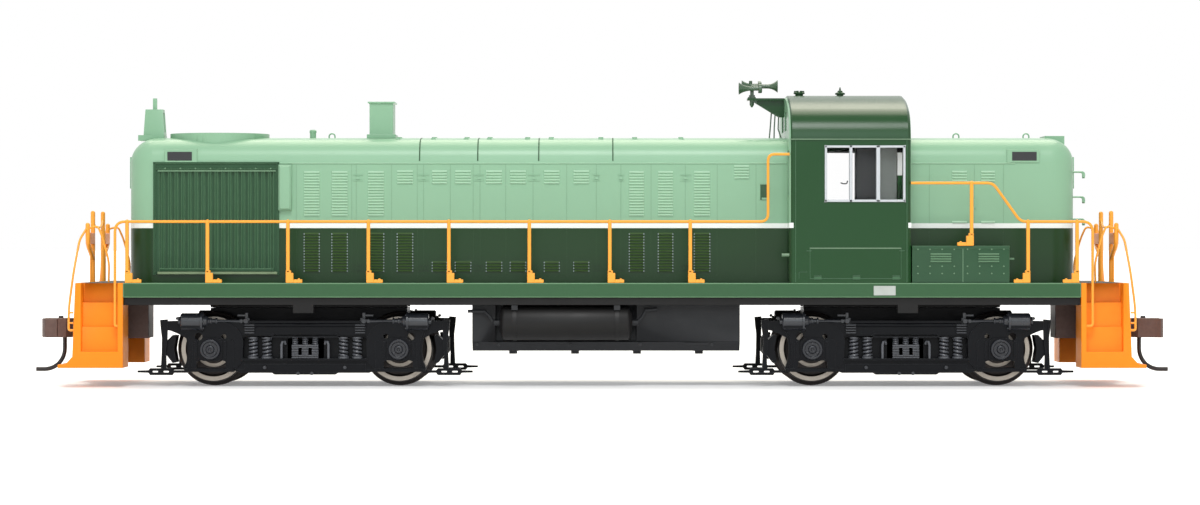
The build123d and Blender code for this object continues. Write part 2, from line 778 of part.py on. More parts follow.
with BuildPart() as air_reservoirs:
    across, height = reservoir_place
    low, high = reservoir_span
    with BuildSketch(Plane.YZ.offset(low)):
        RegularPolygon(reservoir_radius, reservoir_sides)
    extrude(amount=high - low)
    for end in (0, -1):
        chamfer(air_reservoirs.faces().sort_by(Axis.X)[end].edges(), length=reservoir_dome)
    for place in saddle_places:
        block((place - saddle_width / 2, place + saddle_width / 2), (-reservoir_radius, 0),
              (0, underframe_bottom - height))
tank_on_left = Pos(0, *reservoir_place) * air_reservoirs.part
pieces["air_reservoirs"] = tank_on_left + tank_on_left.mirror(Plane.XZ)

# ================================================================ pilots and draft gear
with BuildPart() as pilots:
    with BuildSketch(Plane.XZ):
        with BuildLine():
            pilot_front = pilot_back + pilot_thickness
            Polyline((pilot_back, deck_top), (pilot_front, deck_top),
                     (pilot_front + pilot_slope, pilot_bottom), (pilot_back, pilot_bottom),
                     close=True)
        make_face()
    extrude(amount=sill_half_width, both=True)
    block((pilot_back, pilot_front + pilot_slope),
          (-pilot_opening_half_width, pilot_opening_half_width), pilot_opening_height,
          mode=Mode.SUBTRACT)
    # Each riser stands a little further out than the one above; the lowest is flush.
    with BuildSketch(Plane.YZ.offset(sill_half_length)):
        with BuildLine():
            tread_height = deck_top - tread_share * step_rise
            corners = [(step_inner, pilot_bottom), (step_inner, deck_top)]
            top = deck_top
            depth = step_inner + step_depth
            while top > pilot_bottom:
                low = max(tread_height, pilot_bottom)
                out = sill_half_width if low == pilot_bottom else depth
                corners += [(out, top), (out, low)]
                top = low
                tread_height -= step_rise
                depth += step_growth
            Polyline(*corners, close=True)
        make_face()
        mirror(about=Plane.YZ)
    extrude(amount=pilot_back - sill_half_length)
    for side in both_ends(step_inner, sill_half_width):
        block((sill_half_length, sill_half_length + stringer_width), side,
              (pilot_bottom, deck_top))
    for side in both_ends(*footboard_span):
        block((pilot_back, footboard_reach), side,
              (pilot_bottom, pilot_bottom + footboard_thickness))
    with BuildSketch(Plane.XZ.offset(-footboard_span[1])):
        with BuildLine():
            Polyline((pilot_back, pilot_bottom), (footboard_reach - gusset_width, pilot_bottom),
                     (pilot_front + pilot_slope, pilot_bottom + gusset_height),
                     (pilot_back, pilot_bottom + gusset_height), close=True)
        make_face()
    extrude(amount=gusset_width)
    mirror(about=Plane.YZ)
    mirror(about=Plane.XZ)
pieces["pilots"] = pilots.part

with BuildPart() as coupler_boxes:
    half_height = coupler_box_height / 2
    block(coupler_box_span, (-coupler_box_half_width, coupler_box_half_width),
          (coupler_height - half_height, coupler_height + half_height))
    block((coupler_box_span[0], pilot_back - stringer_width),
          (-coupler_box_half_width, coupler_box_half_width),
          (coupler_height + half_height, underframe_bottom))
    block((coupler_slot_start, coupler_box_span[1]),
          (-coupler_slot_half_width, coupler_slot_half_width),
          (coupler_height - coupler_slot_height / 2, coupler_height + coupler_slot_height / 2),
          mode=Mode.SUBTRACT)
    with Locations((coupler_pivot, 0, coupler_height)):
        Cylinder(coupler_pin_diameter / 2, coupler_box_height)
    mirror(about=Plane.YZ)
pieces["coupler_boxes"] = coupler_boxes.part

# ================================================================ railings
stringer_face = sill_half_length + stringer_width
rear_rail = [(-stringer_face, rail_foot), (rear_wire, rail_foot), (rear_wire, rail_height),
             (grab_place, rail_height), (grab_place, grab_height), (cab_rear, grab_height)]
front_rail = [(cab_front, nose_rail_height), (nose_rail_bend, nose_rail_height),
              (nose_rail_foot, rail_height), (front_wire, rail_height),
              (front_wire, rail_foot), (stringer_face, rail_foot)]
with BuildPart() as side_handrails:
    for route, bends in ((rear_rail, rear_bends), (front_rail, front_bends)):
        add(bent_wire([(x, rail_plane, z) for x, z in route], bends, wire_diameter))
    mirror(about=Plane.XZ)
pieces["side_handrails"] = side_handrails.part

# Rows: (X, which way its foot points, what it stands on, the rail it holds).
rail_under = wire_diameter / 2
first = stanchion_from_end - sill_half_length
spacing = (grab_place - stanchion_from_grab - first) / (rear_stanchions - 1)
stanchions = [(first + spacing * count, 1, deck_top, rail_height)
              for count in range(rear_stanchions)]
stanchions += [(cab_front + battery_stanchion_from_cab, -1, battery_top, nose_rail_height),
               (sill_half_length - nose_stanchion_from_end, -1, deck_top, rail_height),
               (sill_half_length - stanchion_from_end, -1, deck_top, rail_height)]
with BuildPart() as stanchion_posts:
    for place, way, low, rail in stanchions:
        with BuildSketch(Plane.XZ.offset(-rail_plane - stanchion_depth / 2)):
            with BuildLine():
                half = stanchion_width / 2
                base = stanchion_base / 2
                shoulder = low + stanchion_base_height
                Polyline((place + half, rail - rail_under), (place - half, rail - rail_under),
                         (place - half, shoulder), (place - base, shoulder - stanchion_step),
                         (place - base, low), (place + base, low),
                         (place + base, shoulder - stanchion_step),
                         (place + half, shoulder), close=True)
            make_face()
        extrude(amount=stanchion_depth)
        foot = sorted((place, place + way * stanchion_foot))
        block(foot, (rail_plane - stanchion_depth / 2, rail_plane + stanchion_depth / 2),
              (low, low + stanchion_foot_height))
    mirror(about=Plane.XZ)
pieces["stanchions"] = stanchion_posts.part

with BuildPart() as end_rails:
    tall_across, tall_rise = tall_post
    short_across, short_rise = short_post
    plate_low, plate_high = [deck_top + height for height in end_plate_height]
    add(bent_wire([(post_place, tall_across, deck_top),
                   (post_place, tall_across, deck_top + tall_rise)], [], post_diameter))
    add(bent_wire([(post_place, tall_across, deck_top + short_post_root),
                   (post_place, short_across, plate_low),
                   (post_place, short_across, deck_top + short_rise)], (short_post_bend,),
                  post_diameter))
    block((post_place - end_plate_thickness / 2, post_place + end_plate_thickness / 2),
          (tall_across, short_across), (plate_low, plate_high))
    grab_across = sill_half_width - wire_diameter
    grab_out = pilot_back + grab_wire_reach
    pilot_there = pilot_front + pilot_slope * (deck_top - grab_wire_foot) / (deck_top
                                                                             - pilot_bottom)
    add(bent_wire([(post_place, short_across, deck_top + short_rise - grab_wire_diameter),
                   (post_place + grab_wire_lean, grab_across - grab_wire_tuck,
                    deck_top + grab_wire_knee[0]),
                   (grab_out, grab_across, deck_top + grab_wire_knee[1]),
                   (grab_out, grab_across, grab_wire_foot),
                   (pilot_there, grab_across, grab_wire_foot)],
                  grab_wire_bends, grab_wire_diameter))
    mirror(about=Plane.XZ)
    # The safety chain hangs between the tall posts.
    add(bent_wire([(post_place, -tall_across, deck_top + tall_rise - chain_drop),
                   (post_place, -tall_across / 2, deck_top + tall_rise - 2 * chain_drop),
                   (post_place, tall_across / 2, deck_top + tall_rise - 2 * chain_drop),
                   (post_place, tall_across, deck_top + tall_rise - chain_drop)],
                  (chain_bend, chain_bend), grab_wire_diameter))
    mirror(about=Plane.YZ)
pieces["end_rails"] = end_rails.part

# ================================================================ trucks
def zigzag(place, low, high, turns, waist, full):
    """A coil spring's side outline: waists and bulges up one side and down the other."""
    lobe = (high - low) / turns
    right = [(place + waist, low)]
    for count in range(turns):
        right += [(place + full, low + count * lobe + lobe / 2),
                  (place + waist, low + (count + 1) * lobe)]
    left = [(2 * place - x, z) for x, z in reversed(right)]
    return right + left


frame_top = pedestal_outline[0][1]
frame_bottom = pedestal_outline[-1][1]
window_bottom = window_outline[0][1]
window_lip = window_outline[1][1]
window_top = window_outline[-1][1]
with BuildPart() as side_frames:
    with BuildSketch(Plane.XZ.offset(-frame_inner)):
        with BuildLine():
            Polyline((0, frame_top), *[(wheelbase / 2 + x, z) for x, z in pedestal_outline],
                     (0, frame_bottom), close=True)
        make_face()
        with BuildLine():
            Polyline((0, window_bottom), *window_outline, (0, window_top), close=True)
        make_face(mode=Mode.SUBTRACT)
        with Locations((wheelbase / 2 + slot_place[0], slot_place[1])):
            Rectangle(*slot_size, mode=Mode.SUBTRACT)
        with Locations([(wheelbase / 2 + x, hole_height) for x in hole_places]):
            RegularPolygon(hole_radius, 6, mode=Mode.SUBTRACT)
        mirror(about=Plane.YZ)
    extrude(amount=-frame_thickness)
    for offset in axle_offsets:
        with BuildSketch(Plane.XZ.offset(-frame_face)):
            with Locations((offset, axle_height)):
                RegularPolygon(journal_radius, cylinder_sides)
        extrude(amount=-journal_proud)
        half = journal_radius + journal_block_margin
        block((offset - half, offset + half), (frame_face, frame_face + journal_block_proud),
              (axle_height - journal_radius, axle_height + journal_radius))
    # Springs, one behind each other like the real ones, between plank and top chord.
    with BuildSketch(Plane.XZ.offset(-frame_inner - spring_recess)):
        for place in coil_places:
            with BuildLine():
                Polyline(*zigzag(place, window_bottom, window_lip, coil_turns, coil_waist,
                                 coil_radius), close=True)
            make_face()
        with Locations((hanger_bar_place, (window_bottom + window_top) / 2)):
            Rectangle(hanger_bar_width, window_top - window_bottom)
        mirror(about=Plane.YZ)
    extrude(amount=-coil_depth)
    with BuildSketch(Plane.XZ.offset(-frame_inner - spring_recess)):
        for place in leaf_places:
            with BuildLine():
                Polyline(*zigzag(place, window_bottom, window_top, leaf_turns, leaf_waist,
                                 leaf_half_width), close=True)
            make_face()
    extrude(amount=-leaf_depth)
    # Brake cylinder with its push rod, then the hanger, shoe and lower rod, at both ends.
    middle = (frame_inner + frame_face) / 2
    rod = push_rod_thickness / 2
    inset = (frame_inner + rigging_inset, frame_face - rigging_inset)
    low_rod = (frame_inner + brake_rod_inset, frame_face - brake_rod_inset)
    with BuildSketch(Plane.YZ.offset(cylinder_span[0])):
        with Locations((frame_face - cylinder_radius / 8, frame_top)):
            RegularPolygon(cylinder_radius, cylinder_sides)
    extrude(amount=cylinder_span[1] - cylinder_span[0])
    block(push_rod_span, (middle - rod, middle + rod),
          (frame_top, frame_top + push_rod_thickness))
    with Locations([(place, middle, frame_top + clevis_size[2] / 2)
                    for place in clevis_places]):
        Box(*clevis_size)
    block(hanger_arm_span, inset, hanger_arm_height)
    block(hanger_span, inset, (brake_rod_height[0], hanger_arm_height[1]))
    block(shoe_span, (wheel_inner + flange_width, inset[1]), shoe_height)
    block(brake_rod_span, low_rod, brake_rod_height)
    mirror(about=Plane.YZ)
    # The lug that the gearbox carries the frame by.
    block((-lug_half_length, lug_half_length), (gearbox_half_width, frame_inner), lug_height)
    block((-lug_half_length, lug_half_length), (frame_inner, frame_inner + lug_plate[0]),
          lug_plate[1])
    mirror(about=Plane.XZ)

with BuildPart() as gearbox:
    kingpin_top = sill_bottom - bolster_gap
    block((-gearbox_half_length, gearbox_half_length),
          (-gearbox_half_width, gearbox_half_width), (gearbox_bottom, gearbox_top))
    with Locations((0, 0, (gearbox_top + kingpin_top) / 2)):
        Cylinder(kingpin_diameter / 2, kingpin_top - gearbox_top)
    for offset in axle_offsets:
        with Locations(Location((offset, 0, axle_height), (90, 0, 0))):
            Cylinder(axle_diameter / 2 + axle_clearance, 2 * gearbox_half_width,
                     mode=Mode.SUBTRACT)

with BuildPart() as axle:
    with Locations(Location((0, 0, axle_height), (90, 0, 0))):
        Cylinder(axle_diameter / 2, 2 * wheel_inner)

with BuildPart() as wheels:
    tread_radius = tread_diameter / 2
    # Rows: radius, from, to (across the axle).
    for radius, low, high in ((wheel_radius, wheel_inner, wheel_inner + flange_width),
                              (tread_radius, wheel_inner + flange_width, wheel_outer)):
        with Locations(Location((0, (low + high) / 2, axle_height), (90, 0, 0))):
            Cylinder(radius, high - low)
    mirror(about=Plane.XZ)

for end, place in truck_places.items():
    pieces[f"truck_side_frames_{end}"] = Pos(place, 0, 0) * side_frames.part
    pieces[f"truck_gearbox_{end}"] = Pos(place, 0, 0) * gearbox.part
    for number, offset in enumerate(axle_offsets, 1):
        pieces[f"axle_{end}_{number}"] = Pos(place + offset, 0, 0) * axle.part
        pieces[f"wheels_{end}_{number}"] = Pos(place + offset, 0, 0) * wheels.part

# ================================================================ couplers
# Seen from above, as (back from the face, Y): the head with its guard arm at -Y, then the
# knuckle that hooks around from +Y. They share the edge where the knuckle's pin is.
head_outline = ((5.4, -0.85), (4.4, -2.0), (2.4, -2.2), (0.5, -3.0), (0.0, -2.5), (1.6, -1.1),
                (2.4, -0.2), (2.4, 1.0), (3.0, 2.3), (4.4, 2.0), (5.4, 0.85))
knuckle_outline = ((2.4, 1.0), (1.4, 0.9), (1.1, 0.1), (0.3, 0.1), (0.0, 1.3), (0.7, 2.5),
                   (3.0, 2.3))


def outline_block(outline, height):
    """A top-view outline, given back from the coupler's face, raised to a height."""
    with BuildPart() as solid:
        with BuildSketch(Plane.XY.offset(coupler_height - height / 2)):
            with BuildLine():
                Polyline(*[(coupler_face - back, across) for back, across in outline],
                         close=True)
            make_face()
        extrude(amount=height)
    return solid.part


with BuildPart() as coupler:
    with Locations((coupler_pivot, 0, coupler_height)):
        Cylinder(coupler_eye_diameter / 2, shank_height)
    block((coupler_pivot, coupler_face - head_outline[1][0]), (-shank_width / 2, shank_width / 2),
          (coupler_height - shank_height / 2, coupler_height + shank_height / 2))
    add(outline_block(head_outline, head_height))
    with Locations((coupler_pivot, 0, coupler_height)):
        Cylinder(coupler_pin_diameter / 2 + coupler_clearance, coupler_box_height,
                 mode=Mode.SUBTRACT)

trip_pin = bent_wire([(trip_pin_place, 0, coupler_height - head_height / 2),
                      (trip_pin_place, 0, trip_pin_foot + trip_pin_rise),
                      (trip_pin_place + trip_pin_run, 0, trip_pin_foot),
                      (trip_pin_place + trip_pin_reach, 0, trip_pin_foot)],
                     trip_pin_bends, trip_pin_diameter)

for name, piece in (("coupler", coupler.part), ("trip_pin", trip_pin),
                    ("knuckle", outline_block(knuckle_outline, head_height))):
    pieces[f"{name}_front"] = piece
    pieces[f"{name}_rear"] = Rot(0, 0, 180) * piece

for label, piece in pieces.items():
    piece.label = label
    export_step(piece, f"parts/{label}.step")
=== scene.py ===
"""A model diesel locomotive in HO scale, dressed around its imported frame.

Lengths in the sections are millimetres, and each finished mesh is in metres. X runs along the
track with the cab nearer +X, Y across it, and Z up from the wheel flanges' lowest points.
"""
import math

import bpy
import bmesh
import numpy as np
from mathutils.geometry import tessellate_polygon
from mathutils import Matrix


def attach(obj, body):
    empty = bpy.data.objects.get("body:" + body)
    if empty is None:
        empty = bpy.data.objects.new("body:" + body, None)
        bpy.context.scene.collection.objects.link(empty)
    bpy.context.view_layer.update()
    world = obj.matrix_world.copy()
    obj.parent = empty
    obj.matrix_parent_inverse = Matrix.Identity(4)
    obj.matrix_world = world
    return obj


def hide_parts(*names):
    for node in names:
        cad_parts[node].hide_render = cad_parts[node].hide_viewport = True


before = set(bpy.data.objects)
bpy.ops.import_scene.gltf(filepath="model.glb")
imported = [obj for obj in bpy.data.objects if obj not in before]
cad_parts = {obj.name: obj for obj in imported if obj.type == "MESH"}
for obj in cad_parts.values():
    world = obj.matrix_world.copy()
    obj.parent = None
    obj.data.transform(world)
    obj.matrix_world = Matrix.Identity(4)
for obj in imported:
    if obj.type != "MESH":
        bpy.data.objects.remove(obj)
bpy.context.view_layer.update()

# ---------------------------------------------------------------- turned wheels
# Each wheel is turned from nickel silver: a coned tread, a round-nosed flange, a bright rim
# and a face blackened with chemical. The axle is a plain steel pin pressed into both wheels.
# A millimetre in metres, then each truck's middle along X.
mm = 0.001
trucks = {"rear": -51.9, "front": 53.1}
half_wheelbase = 16.33
axle_height = 6.53


def turned(profile, centre, axis=1, steps=64):
    """Grid of a profile turned about an axis through centre: the row (along, radius) goes to
    centre + along on the axis + radius * (cos a, sin a) on the two others, a = 0 to 2 pi."""
    along, radius = np.asarray(profile, float).T
    angle = np.linspace(0, 2 * math.pi, steps, endpoint=False)
    points = np.zeros((len(along), steps, 3))
    first, second = [k for k in range(3) if k != axis]
    points[..., axis] = along[:, None]
    points[..., first] = radius[:, None] * np.cos(angle)
    points[..., second] = radius[:, None] * np.sin(angle)
    return points.reshape(-1, 3) + centre, grid_faces(len(along), steps, True)


def grid_faces(rows, columns, around):
    """Faces of a grid of rows by columns: each cell joins a point to the next in its row and
    in the row after, and around also joins the last column to the first."""
    across = columns if around else columns - 1
    row, column = np.meshgrid(np.arange(rows - 1), np.arange(across), indexing="ij")
    after = (column + 1) % columns
    corners = (row * columns + column, row * columns + after,
               (row + 1) * columns + after, (row + 1) * columns + column)
    return np.stack(corners, -1).reshape(-1, 4).tolist()


def moved(form, x):
    """The same form, with x added to every point's X."""
    return form[0] + (x, 0, 0), form[1]


def mirrored(form, axis=1):
    """The same form with one coordinate's sign changed and its faces' order turned round."""
    points = form[0].copy()
    points[:, axis] *= -1
    return points, [face[::-1] for face in form[1]]


def both_sides(forms, axis=1):
    """The forms and their mirror images."""
    return list(forms) + [mirrored(form, axis) for form in forms]


def shade(mesh, sharp):
    """Shades a mesh smooth but for edges that bend by more than the sharp angle, in degrees."""
    mesh.shade_smooth()
    mesh.set_sharp_from_angle(angle=math.radians(sharp))


def piece(name, forms, material, stands_for=(), bevel=0, sharp=35, edges=None,
          body="locomotive"):
    """One object from several forms: their points in metres, doubles merged, faces outward,
    shaded smooth below the sharp angle, and its edges rounded by a bevel where one is given."""
    points = np.concatenate([form[0] for form in forms]) * mm
    starts = np.cumsum([0] + [len(form[0]) for form in forms[:-1]])
    faces = [[start + corner for corner in face]
             for start, form in zip(starts, forms) for face in form[1]]
    mesh = bpy.data.meshes.new(name)
    mesh.from_pydata(points.tolist(), [], faces)
    shell = bmesh.new()
    shell.from_mesh(mesh)
    bmesh.ops.remove_doubles(shell, verts=shell.verts, dist=0.0001 * mm)
    bmesh.ops.recalc_face_normals(shell, faces=shell.faces)
    shell.to_mesh(mesh)
    shell.free()
    shade(mesh, sharp)
    place(name, mesh, material, stands_for, bevel, edges, body)


def place(name, mesh, material, stands_for, bevel, edges, body):
    """Puts a mesh in the scene as a piece that rides on its body. Its bevelled edges, which
    bend by over 40 degrees, can take a lighter finish: a painted highlight along them."""
    thing = bpy.data.objects.new(name, mesh)
    bpy.context.scene.collection.objects.link(thing)
    mesh.materials.clear()
    mesh.materials.append(material)
    if bevel:
        rounding = thing.modifiers.new("edges", "BEVEL")
        rounding.width = bevel * mm
        rounding.segments = 2
        rounding.limit_method = "ANGLE"
        rounding.angle_limit = math.radians(40)
        rounding.harden_normals = True
        if edges:
            mesh.materials.append(edges)
            rounding.material = 1
    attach(thing, body)
    if stands_for:
        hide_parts(*stands_for)


def from_srgb(colour):
    """Linear light from a display colour: ((c + 0.055) / 1.055) to the power 2.4."""
    channel = np.asarray(colour, float) / 255
    return tuple(np.where(channel > 0.04045, ((channel + 0.055) / 1.055) ** 2.4,
                          channel / 12.92)) + (1.0,)


def feed(tree, node, inputs):
    """Sets a shader node's inputs, by name or number: each takes a value, or the output of
    another node, which is linked to it."""
    for socket, source in inputs.items():
        if isinstance(source, bpy.types.NodeSocket):
            tree.links.new(source, node.inputs[socket])
        else:
            node.inputs[socket].default_value = source


def added(tree, kind, output, inputs=None, **settings):
    """The output of a new shader node with these settings and inputs."""
    node = tree.nodes.new("ShaderNode" + kind)
    for key, setting in settings.items():
        setattr(node, key, setting)
    feed(tree, node, inputs or {})
    return node.outputs[output]


def finish(name, colour, rough=0.45, metal=0.0, mottle=0.12, mottle_size=1.2, grain=0.12,
           grain_depth=0.02, coat=0.0, specular=0.5):
    """A finish with slow mottling of its colour and roughness and a fine grain in its relief.
    Sizes are in millimetres; mottle is the share by which the colour darkens in places, and
    the roughness runs from 0.85 to 1.2 times the one given."""
    material = bpy.data.materials.new(name)
    material.use_nodes = True
    tree = material.node_tree
    spot = added(tree, "TexCoord", "Object")
    slow, fine = [added(tree, "TexNoise", "Fac",
                        {"Vector": spot, "Scale": 1 / mm / size, "Detail": detail})
                  for size, detail in ((mottle_size, 4), (grain, 2))]
    light = from_srgb(colour)
    dark = tuple(channel * (1 - mottle) for channel in light[:3]) + (1.0,)
    feed(tree, tree.nodes["Principled BSDF"], {
        "Metallic": metal, "Coat Weight": coat, "Coat Roughness": 0.2,
        "Specular IOR Level": specular,
        "Base Color": added(tree, "Mix", "Result", {"Factor": slow, "A": light, "B": dark},
                            data_type="RGBA"),
        "Roughness": added(tree, "MapRange", "Result", {
            "Value": slow, "To Min": rough * 0.85, "To Max": min(1.0, rough * 1.2)}),
        "Normal": added(tree, "Bump", "Normal", {
            "Height": fine, "Strength": 0.35, "Distance": grain_depth * mm})})
    return material


def wear(material, *node_names):
    """Gives CAD nodes this finish."""
    for node_name in node_names:
        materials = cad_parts[node_name].data.materials
        materials.clear()
        materials.append(material)


bright_rim = finish("turned_nickel_silver", (176, 167, 156), rough=0.34, metal=0.75,
                    mottle=0.2, mottle_size=0.8, grain=0.3, grain_depth=0.01)
blackened_rim = finish("blackened_wheel", (62, 56, 54), rough=0.42, metal=0.6, mottle=0.35,
                       mottle_size=0.9, grain=0.2)
axle_steel = finish("axle_steel", (120, 118, 116), rough=0.35, metal=0.9, mottle=0.2)

tread_radius = 5.83
flange_radius = 6.53
wheel_back = 7.2
wheel_face = 10.0
rim_inside = 4.85
# Rows: across the axle, radius. From the back's middle over flange and tread to the face.
wheel_back_profile = [(wheel_back, 0), (wheel_back, 2.0), (wheel_back + 0.25, 2.2),
                      (wheel_back + 0.25, 4.7), (wheel_back, 4.9), (wheel_back, 6.1),
                      (wheel_back + 0.12, 6.4), (wheel_back + 0.35, flange_radius),
                      (wheel_back + 0.6, 6.4), (wheel_back + 0.78, 6.05),
                      (wheel_back + 0.95, tread_radius + 0.05),
                      (wheel_face - 0.15, tread_radius - 0.06),
                      (wheel_face - 0.04, tread_radius - 0.1),
                      (wheel_face, tread_radius - 0.2)]
wheel_rim_profile = [(wheel_face, tread_radius - 0.2), (wheel_face, rim_inside + 0.05),
                     (wheel_face - 0.06, rim_inside)]
wheel_dish_profile = [(wheel_face - 0.06, rim_inside), (wheel_face - 0.5, rim_inside - 0.3),
                      (wheel_face - 0.6, 3.9), (wheel_face - 0.5, 2.3),
                      (wheel_face - 0.12, 1.75), (wheel_face - 0.02, 1.6),
                      (wheel_face - 0.02, 1.25), (wheel_face + 0.02, 1.2),
                      (wheel_face + 0.02, 0.5), (wheel_face - 0.1, 0.35),
                      (wheel_face - 0.25, 0)]
hub_ring_profile = [(wheel_face - 0.62, 3.25), (wheel_face - 0.42, 3.18),
                    (wheel_face - 0.4, 2.6), (wheel_face - 0.6, 2.5)]
for end, truck_place in trucks.items():
    for number, side in ((1, -1), (2, 1)):
        centre = (truck_place + side * half_wheelbase, 0, axle_height)
        for name, profiles, material, stands_for in (
                ("wheel_treads", (wheel_back_profile,), blackened_rim,
                 [f"wheels_{end}_{number}"]),
                ("wheel_rims", (wheel_rim_profile, hub_ring_profile), bright_rim, ()),
                ("wheel_dishes", (wheel_dish_profile,), blackened_rim, ())):
            piece(f"{name}_{end}_{number}",
                  both_sides([turned(profile, centre) for profile in profiles]),
                  material, stands_for, sharp=28,
                  body=f"wheelset_{end}_{number}")
        wear(axle_steel, f"axle_{end}_{number}")

# ---------------------------------------------------------------- truck side frames
# One glossy black moulding a side: a cast frame with pedestals around the axle boxes, coil
# springs beside the middle, three stacks of leaves, and the brake rigging round the wheels.
truck_black = finish("truck_black", (17, 18, 22), rough=0.34, mottle=0.3, mottle_size=1.6,
                     grain=0.18, grain_depth=0.035, specular=0.12)
# The frame's bevelled edges, the brake rigging, the journal covers and the springs take lighter
# copies of the frame's black: painted highlights.
highlit_edges = finish("truck_edges", (52, 54, 60), rough=0.3, mottle=0.4, mottle_size=0.7,
                        grain=0.15, specular=0.5)
rigging_black = finish("rigging_black", (50, 52, 58), rough=0.28, mottle=0.35, mottle_size=0.8,
                       grain=0.12, specular=0.5)
cover_black = finish("cover_black", (32, 34, 42), rough=0.25, mottle=0.5, mottle_size=0.5,
                     grain=0.15, specular=0.45)
spring_black = finish("spring_black", (92, 94, 100), rough=0.34, mottle=0.3, grain=0.1,
                      specular=0.5)
frame_inner = 11.5
frame_face = 13.5


def repeated(faces, corners, count):
    """The faces of one form, whose corners are that many, for count forms in a row: those of
    form k have k times its corners added."""
    shift = corners * np.arange(count)[:, None, None]
    return (np.array(faces)[None] + shift).reshape(-1, len(faces[0])).tolist()


def bars(rows):
    """Boxes from rows of (x0, x1, y0, y1, z0, z1): each corner takes one end of each span."""
    spans = np.asarray(rows, float).reshape(-1, 3, 2)
    pick = np.array([[i >> 2 & 1, i >> 1 & 1, i & 1] for i in range(8)])
    sides = [[0, 1, 3, 2], [4, 6, 7, 5], [0, 4, 5, 1], [2, 3, 7, 6], [0, 2, 6, 4], [1, 5, 7, 3]]
    return spans[:, np.arange(3), pick].reshape(-1, 3), repeated(sides, 8, len(spans))


def prism(outline, low, high, axis=1):
    """A solid whose two ends are the outline, given in the two other axes' order, held at low
    and high on this axis, and whose sides join them."""
    flat = np.asarray(outline, float)
    count = len(flat)
    points = np.zeros((2, count, 3))
    points[:, :, [k for k in range(3) if k != axis]] = flat
    points[0, :, axis], points[1, :, axis] = low, high
    walls = grid_faces(2, count, True)
    return points.reshape(-1, 3), walls + [list(range(count))[::-1],
                                           list(range(count, 2 * count))]


def round_line(centre, radius, start, stop, steps):
    """Points on a circle from one angle to another, in degrees: centre + radius * (cos, sin)."""
    angle = np.radians(np.linspace(start, stop, steps))
    return np.stack((centre[0] + radius * np.cos(angle),
                     centre[1] + radius * np.sin(angle)), 1).tolist()


def tube(path, radius, sides):
    """A round bar along a path: at each point, radius * (cos a, sin a) on two directions
    square to the path, the first one also square to the axis that the path follows least."""
    path = np.asarray(path, float)
    ahead = np.gradient(path, axis=0)
    ahead /= np.linalg.norm(ahead, axis=1)[:, None]
    least = np.eye(3)[np.argmin(np.abs(ahead).sum(0))]
    across = np.cross(ahead, least)
    across /= np.linalg.norm(across, axis=1)[:, None]
    upward = np.cross(ahead, across)
    angle = np.linspace(0, 2 * math.pi, sides, endpoint=False)[None, :, None]
    ring = across[:, None] * np.cos(angle) + upward[:, None] * np.sin(angle)
    points = (path[:, None] + radius * ring).reshape(-1, 3)
    last = len(points) - sides
    return points, grid_faces(len(path), sides, True) + [
        list(range(sides))[::-1], list(range(last, last + sides))]


def coil(x, y, low, high, radius, wire, turns):
    """A spring: the tube whose path is (x + radius cos a, y + radius sin a, low + rise * a)."""
    angle = np.linspace(0, 2 * math.pi * turns, int(18 * turns) + 1)
    path = np.stack((x + radius * np.cos(angle), y + radius * np.sin(angle),
                     np.linspace(low, high, len(angle))), 1)
    return tube(path, wire, 6)


def disc(centre, radius, low, high, axis, steps, round_edge=0.0):
    """A short round bar from low to high on its axis, its outer edge rounded a little."""
    middle = list(centre)
    middle[axis] = 0
    profile = [(low, 0), (low, radius), (high - round_edge, radius),
               (high, radius - round_edge), (high, 0)]
    return turned(profile, middle, axis, steps)


def plate(outline, holes, low, high):
    """A flat casting square to Y: outline and holes, as points (X, Z), are filled by triangles
    on its two faces, at low and high, and walls join the faces along every loop."""
    loops = [np.asarray(loop, float) for loop in (outline, *holes)]
    flat = np.concatenate(loops)
    count = len(flat)
    points = np.zeros((2, count, 3))
    points[..., 0], points[..., 2] = flat.T
    points[0, :, 1], points[1, :, 1] = low, high
    fill = [list(face) for face in tessellate_polygon(
        [[(x, z, 0) for x, z in loop] for loop in loops])]
    faces = fill + [[corner + count for corner in face] for face in fill]
    start = 0
    for loop in loops:
        ring = start + np.arange(len(loop))
        after = np.roll(ring, -1)
        faces += np.stack((ring, after, after + count, ring + count), 1).tolist()
        start += len(loop)
    return points.reshape(-1, 3), faces


def both_halves(outline):
    """A half outline and its mirror image in X, joined into one loop."""
    return list(outline) + [(-x, z) for x, z in reversed(outline)]


def slab(x0, x1, y0, y1, z0, z1):
    """One box from its three spans."""
    return bars([(x0, x1, y0, y1, z0, z1)])


frame_web = 13.05
cast_half = ((19.3, 11.5), (21.3, 10.4), (20.85, 9.0), (20.55, 7.4), (20.5, 6.0), (20.7, 4.4),
             (21.2, 3.0), (12.9, 3.0), (11.2, 2.4), (5.8, 2.4), (5.3, 2.1))
window_half = ((10.65, 4.9), (10.85, 5.1), (10.85, 8.4), (10.65, 8.6), (6.1, 8.6), (5.3, 9.1))
journal_x = half_wheelbase + 0.1
box_slot = ((13.8, 3.3), (18.9, 3.3), (18.9, 4.4), (18.3, 4.6), (14.4, 4.6), (13.8, 4.4))
outer_hole = round_line((18.55, 8.75), 0.68, 0, 337.5, 16)
inner_hole = round_line((14.15, 8.8), 0.45, 0, 330, 12)
openings = [box_slot, outer_hole, inner_hole]
mirror_openings = [[(-x, z) for x, z in loop] for loop in openings]
